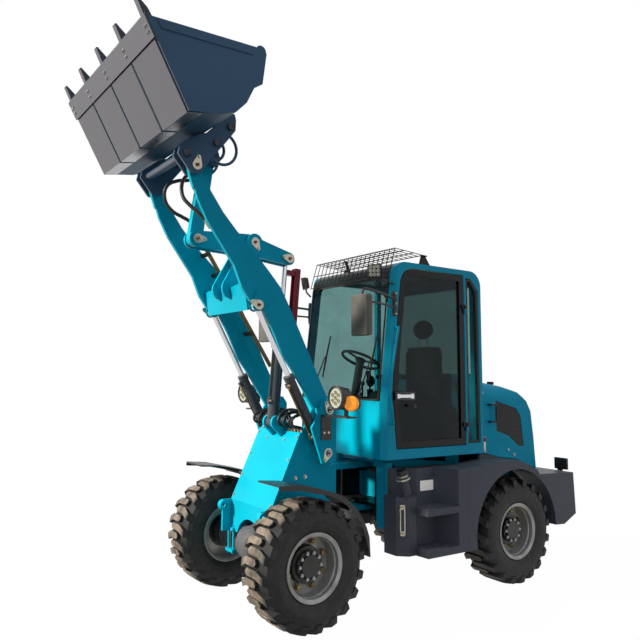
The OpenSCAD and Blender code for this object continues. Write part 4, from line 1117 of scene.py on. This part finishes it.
# points of each hose from the coupler to the arm, in the bucket's drawing
ROUTES = {
    "inner": ((80, -112, 262), (22, -102, 240), (-47, -92, 174), (-24, -92, 80), (-20, -96, -6),
              (-65, -104, -64), (-143, -116, -81), (-219, -132, -49), (-277, -146, 6),
              (-339, -160, 59), (-450, -184, 94), (-520, -192, 104), (-552, -192, 107)),
    "outer": ((80, 112, 262), (28, 104, 196), (-16, 110, 72), (-41, 123, 4), (-92, 157, -59),
              (-161, 201, -101), (-234, 245, -100), (-292, 279, -88), (-368, 300, -66)),
}
for name, route in ROUTES.items():
    points = [bucket_point(x, z, y) for x, y, z in route]
    hose = settle(f"coupler_hose_{name}", [corrugated(points, 12.5, 9.0, 0.2)], hose_rubber,
                  None, 60)
    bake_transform(hose)
    print(name, [tuple(round(v) for v in p) for p in (points[0], points[-1])])

ALONG_ARM = between(arm_point(0, 0, 0), arm_point(1, 0, 0))
ends = [disc(arm_point(far, out, y), axis, radius, depth, 0, sides, edge)
        for far, out, y, axis, radius, depth, sides, edge in (
            (1622, -98, 300, ALONG_ARM, 15, 44, 6, 2), (1592, -98, 300, ALONG_ARM, 11, 30, 24, 1),
            (1592, -98, 312, (0, 1, 0), 13, 22, 6, 1.5), (1452, 62, -192, ALONG_ARM, 15, 34, 6, 2),
            (1452, 62, -222, ALONG_ARM, 13, 30, 6, 2))]
settle("coupler_hose_fittings", ends, brass, "arm")

# %% [markdown]
# ## Bucket wear
# Digging polishes the leading edge and rubs the paint from the heel, where the wear plates
# turn up. Each tooth is held by four bolts, and weld beads join the wear plates to the
# floor. Welds are thin ribbed tubes, half sunk in the corner.

# %% Bucket bolts, worn heel and weld beads
HEEL_X, FLOOR_W, EDGE_X = 285, -134, 892
TOOTH_STEP, BUCKET_LOW, PLATE_GAP = 380, -806 + 16, 24
PLATE_W = (1612 - 32 - 72) / 4
FLOOR_DOWN = between(bucket_point(0, 0, 0), bucket_point(0, -1, 0))
tooth_bolts = [(bucket_point(x, FLOOR_W - 16, i * TOOTH_STEP + y), FLOOR_DOWN)
               for i in (-2, -1, 0, 1, 2) for y in (-11, 11) for x in (EDGE_X - 92, EDGE_X - 52)]
bolts("tooth_bolts", tooth_bolts, 11, "bucket_body", bare_steel)
beads, worn = [], []
for i in range(3):
    y = BUCKET_LOW + (i + 1) * PLATE_W + i * PLATE_GAP + PLATE_GAP / 2
    for s in BOTH:
        beads.append(corrugated([bucket_point(x, FLOOR_W - 4, y + 11 * s) for x in
                                 (EDGE_X - 152, (EDGE_X + HEEL_X) / 2, HEEL_X + 4)],
                                4.5, 9, 0.25))
settle("bucket_weld_beads", beads, bucket_paint, "bucket_body", 60)
for i in range(4):
    y0 = BUCKET_LOW + i * (PLATE_W + PLATE_GAP)
    y1 = y0 + PLATE_W - 3
    low, high = (HEEL_X - 4, FLOOR_W - 10.6), (246, -44.6)
    worn.append(outline([bucket_point(*low, y0 + 3), bucket_point(*high, y0 + 3),
                         bucket_point(*high, y1), bucket_point(*low, y1)],
                        [v * 1.2 for v in FLOOR_DOWN]))
settle("worn_heel_strips", worn, bare_steel, "bucket_body")
print("tooth bolts", len(tooth_bolts), "beads", len(beads))

# %% [markdown]
# ## Tank, gauge and boxes
# The hydraulic tank's filler has a zinc neck ring and a fluted black cap. A sight gauge
# in a bright frame shows the level, held by two brass screws. The pressed seams of the
# boxes are thin ridges, and the steps have raised rings for grip.

# %% Tank filler, level gauge and step grips
FILLER_LOW, FILLER_HIGH, CAP_R = (-927, 590, 800), (-882, 590, 940), 40.5
GAUGE_TURN = math.radians(49.2)
span = math.dist(FILLER_LOW, FILLER_HIGH)
filler_up = [v / span for v in between(FILLER_LOW, FILLER_HIGH)]


def on_filler(far):
    """A point along the filler's axis."""
    return [a + far * v for a, v in zip(FILLER_LOW, filler_up)]


def on_gauge(out, across, up):
    """Place on the level gauge's slanting face: out of it, across it and up."""
    return (-893 + out * math.cos(GAUGE_TURN) - across * math.sin(GAUGE_TURN),
            580 + out * math.sin(GAUGE_TURN) + across * math.cos(GAUGE_TURN), 604 + up)


collar = [disc(on_filler(112), filler_up, 55, 11, 0, 40, 2),
          disc(on_filler(134), filler_up, 43, 12, 0, 40, 2)]
settle("filler_collar", collar, zinc)
cap = [disc(on_filler(156), filler_up, CAP_R, 36, 5, 40, 4)]
for i in range(18):
    a = math.radians(i * 20)
    rib = Vector((-filler_up[2], 0, filler_up[0])) * math.cos(a) + Vector((0, 1, 0)) * math.sin(a)
    cap.append(bar([tuple(Vector(on_filler(far)) + rib * CAP_R) for far in (142, 168)], 3))
settle("filler_cap", cap, lamp_plastic)
gauge_out = between(on_gauge(0, 0, 0), on_gauge(1, 0, 0))
gauge = [panel(on_gauge, 8, box, 5, 1.0) for box in
         ((-20, -112, -12, 112), (12, -112, 20, 112), (-20, 78, 20, 112), (-20, -112, 20, -78))]
settle("level_gauge_frame", gauge, zinc)
settle("level_gauge_sight", [panel(on_gauge, 8, (-11, -77, 11, 77), 2)], lamp_plastic)
bolts("level_gauge_screws", [(on_gauge(12, 0, z), gauge_out) for z in (-95, 95)], 15,
      finish=brass)
# the blank plate glows faintly: painted light
settle("blank_tank_plate", [block((-1250, 545.4, 792), (-1110, 547, 868), 0.6)], painted_glow_white)
grips = [tube([(x + a * 13, y + b * 8, z + 1) for a, b in ((-1, -1), (1, -1), (1, 1), (-1, 1))],
              2.2, closed=True)
         for z in (400, 690) for x in range(-1290, -1060, 44) for y in (598, 650, 702)]
settle("step_grips", grips, graphite)
seams = [bar([(-860, 549, 770), (-930, 614, 770), (-1003, 614, 770), (-1072, 550, 770)], 3),
         bar([(-860, 549, 392), (-930, 614, 392), (-990, 614, 392)], 3)]
settle("tank_seams", seams, graphite)
print("tank details done")

# %% [markdown]
# ## Operator's seat
# The seat is foam under cloth, so it is blown up like a balloon and stopped early: blocks
# a little smaller than the CAD solid are remeshed to even small cells, and Blender's
# cloth pushes them out with pressure while gravity is off. No point may move further
# than the cap, so the pad keeps its outline, then the seams are pressed in along lines.

# %% Cloth pressure and seams
CELL_MM, PRESSURE, FRAMES = 6, 4.0, 18


def swell(parts, cap_mm):
    """Joins parts, remeshes them and lets cloth pressure crown them by at most cap_mm."""
    pad = joined(parts)
    remesh = pad.modifiers.new("even cells", "REMESH")
    remesh.mode = "VOXEL"
    remesh.voxel_size = CELL_MM * MM
    bpy.ops.object.modifier_apply(modifier="even cells")
    before = [v.co.copy() for v in pad.data.vertices]
    cloth = pad.modifiers.new("cloth", "CLOTH")
    cloth.settings.use_pressure = True
    cloth.settings.uniform_pressure_force = PRESSURE
    cloth.settings.effector_weights.gravity = 0
    cloth.settings.tension_stiffness = 20
    cloth.point_cache.frame_start = 1
    cloth.point_cache.frame_end = FRAMES
    for step in range(1, FRAMES + 1):
        bpy.context.scene.frame_set(step)
    moved = pad.evaluated_get(bpy.context.evaluated_depsgraph_get()).to_mesh()
    goal = [v.co.copy() for v in moved.vertices]
    pad.modifiers.remove(cloth)
    for vertex, start, end in zip(pad.data.vertices, before, goal):
        way = end - start
        if way.length > cap_mm * MM:
            way *= cap_mm * MM / way.length
        vertex.co = start + way
    bpy.context.scene.frame_set(1)
    relax = pad.modifiers.new("relax", "SMOOTH")
    relax.factor, relax.iterations = 0.5, 6
    bpy.ops.object.modifier_apply(modifier="relax")
    return pad


def press_seams(pad, lines, deep_mm, wide_mm):
    """Presses grooves into a pad: each line is (axis, place) in metres."""
    pad.data.update()
    for vertex in pad.data.vertices:
        sink = 0.0
        for axis, place in lines:
            gap = abs(vertex.co[axis] - place) / (wide_mm * MM)
            sink = max(sink, math.exp(-gap * gap))
        vertex.co -= vertex.normal * sink * deep_mm * MM


def upholstered(name, parts, cap_mm, seams, deep_mm, wide_mm):
    """One pad: swollen, seamed and covered in the seat cloth."""
    pad = swell(parts, cap_mm)
    press_seams(pad, seams, deep_mm, wide_mm)
    return settle(name, [pad], seat_cloth, angle=60)


print("pads swell for", FRAMES, "frames")

# %% [markdown]
# ## The three pads
# The cushion and the backrest have a bolster along each side, a block that stands a
# little higher than the middle. The headrest starts as a flattened ball on two chromed
# posts.

# %% Cushion, backrest and headrest
BOLSTER = 178
seat = [block((-1612, -230, 1430), (-1232, 230, 1520), 24)]
seat += [block((-1600, BOLSTER * s - 38, 1440), (-1240, BOLSTER * s + 38, 1534), 26)
         for s in BOTH]
cross_seam = at(-1420, 0, 0).x
cushion = upholstered("seat_pad", seat, 10, [(1, 0.135), (1, -0.135), (0, cross_seam)], 6, 7)
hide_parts("seat_cushion")
back = [block((-1744, -200, 1432), (-1672, 200, 1945), 30)]
back += [block((-1738, BOLSTER * s - 42, 1450), (-1662, BOLSTER * s + 42, 1900), 30)
         for s in BOTH]
back_seams = [(1, 0.13), (1, -0.13), (2, 1.66), (2, 1.80)]
rest = upholstered("back_pad", back, 9, back_seams, 6, 7)
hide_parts("seat_back")
fresh()
bpy.ops.mesh.primitive_uv_sphere_add(segments=40, ring_count=24, radius=1,
                                     location=at(-1704, 0, 2092))
bpy.context.object.scale = (0.036, 0.124, 0.088)
head = upholstered("headrest", [freeze()], 8, [(1, 0.07), (1, -0.07)], 4, 6)
posts = [bar([(-1706, 52 * s, 1900), (-1706, 52 * s, 2030)], 7) for s in BOTH]
settle("headrest_posts", posts, chrome)
print("seat cells", len(cushion.data.vertices), len(rest.data.vertices), len(head.data.vertices))

# %% [markdown]
# ## Cab interior
# Through the glass one sees the joystick with its bellows, a round air vent on the side
# wall and the armrests. They stay small: a handful of turned discs and one bellows,
# whose folds come from the ribbed tube.

# %% Joystick, vent and armrests
stick = [corrugated([(-1330, -300, 1478), (-1325, -300, 1556)], 26, 9, 0.3),
         bar([(-1325, -300, 1550), (-1312, -298, 1640)], 9),
         disc((-1308, -297, 1672), (0.15, 0, 1), 22, 70, 8, 20, 6)]
settle("joystick", stick, lamp_plastic)
vent = [disc((-1500, -498, 1620), (0, 1, 0), 52, 14, -5, 32, 2)]
vent += [block((-1540, -494, z - 2), (-1460, -488, z + 2), 1) for z in range(1590, 1651, 15)]
settle("round_vent", vent, cab_plastic)
arms = [block((-1712, 256 * s - 30, 1640), (-1370, 256 * s + 30, 1684), 16) for s in BOTH]
settle("armrests", arms, cab_plastic)
print("interior trim done")

# %% [markdown]
# ## Wheels up close
# Eight gold-zinc nuts hold each wheel, ten small bolts close its planetary hub, and a
# rubber valve stands at the rim.

# %% Wheel nuts, hub bolts and valves
WHEEL_Y, NUT_R, HUB_BOLT_R, VALVE_R = 585, 150, 84, 176
z = AXLE_Z / MM
for end, x in (("front", 0.0), ("rear", (REAR_X - AXLE_X) / MM)):
    for side, sign in SIDES:
        wheel, y = f"wheel_{end}_{side}", WHEEL_Y * sign
        nuts = [((x + a, y + 8 * sign, z + b), (0, sign, 0)) for a, b in ring_of(8, NUT_R, 22.5)]
        bolts(f"wheel_nuts_{end}_{side}", nuts, 30, wheel, gold)
        caps = [((x + a, y + 74 * sign, z + b), (0, sign, 0)) for a, b in ring_of(10, HUB_BOLT_R)]
        bolts(f"hub_bolts_{end}_{side}", caps, 15, wheel, bare_steel)
        a, b = turned((VALVE_R, 0), 50)
        stem = tube([(x + a * grow, y + out * sign, z + b * grow)
                     for grow, out in ((1, 6), (1.03, 30), (1.08, 52))], 5)
        settle(f"tyre_valve_{end}_{side}", [stem], hose_rubber, wheel)
print("wheel details done")

# %% [markdown]
# ## Coupler bushings and hood fittings
# The coupler's side plates have bored holes with pressed-in grey bushings. The hood has
# a latch with a red grip on each side, and a rubber lip seals its front edge to the cab.

# %% Bushings, latches and seal
BUSH_Y, HOOD_X = 403, -1842
bushes = [disc((x, BUSH_Y * s, z), (0, s, 0), 27, 6, -5, 32, 1)
          for x, z in ((641, 3251), (538, 3389), (862, 3132)) for s in BOTH]
settle("coupler_bushings", bushes, cylinder_paint, "bucket_body")
latches = [block((-1922, 500 * s - 9, 1034), (-1896, 500 * s + 9, 1168), 4) for s in BOTH]
settle("hood_latches", latches, zinc)
tops = [block((-1920, 510 * s - 6, 1128), (-1898, 510 * s + 6, 1164), 3) for s in BOTH]
settle("hood_latch_grips", tops, red_paint)
half = [(503, 1052), (503, 1480), (460, 1606), (380, 1628)]
lip = [(HOOD_X, y, z) for y, z in half + [(0, 1632)] + [(-y, z) for y, z in reversed(half)]]
settle("hood_front_seal", [tube(lip, 5)], seal_rubber)
print("bushings", len(bushes))
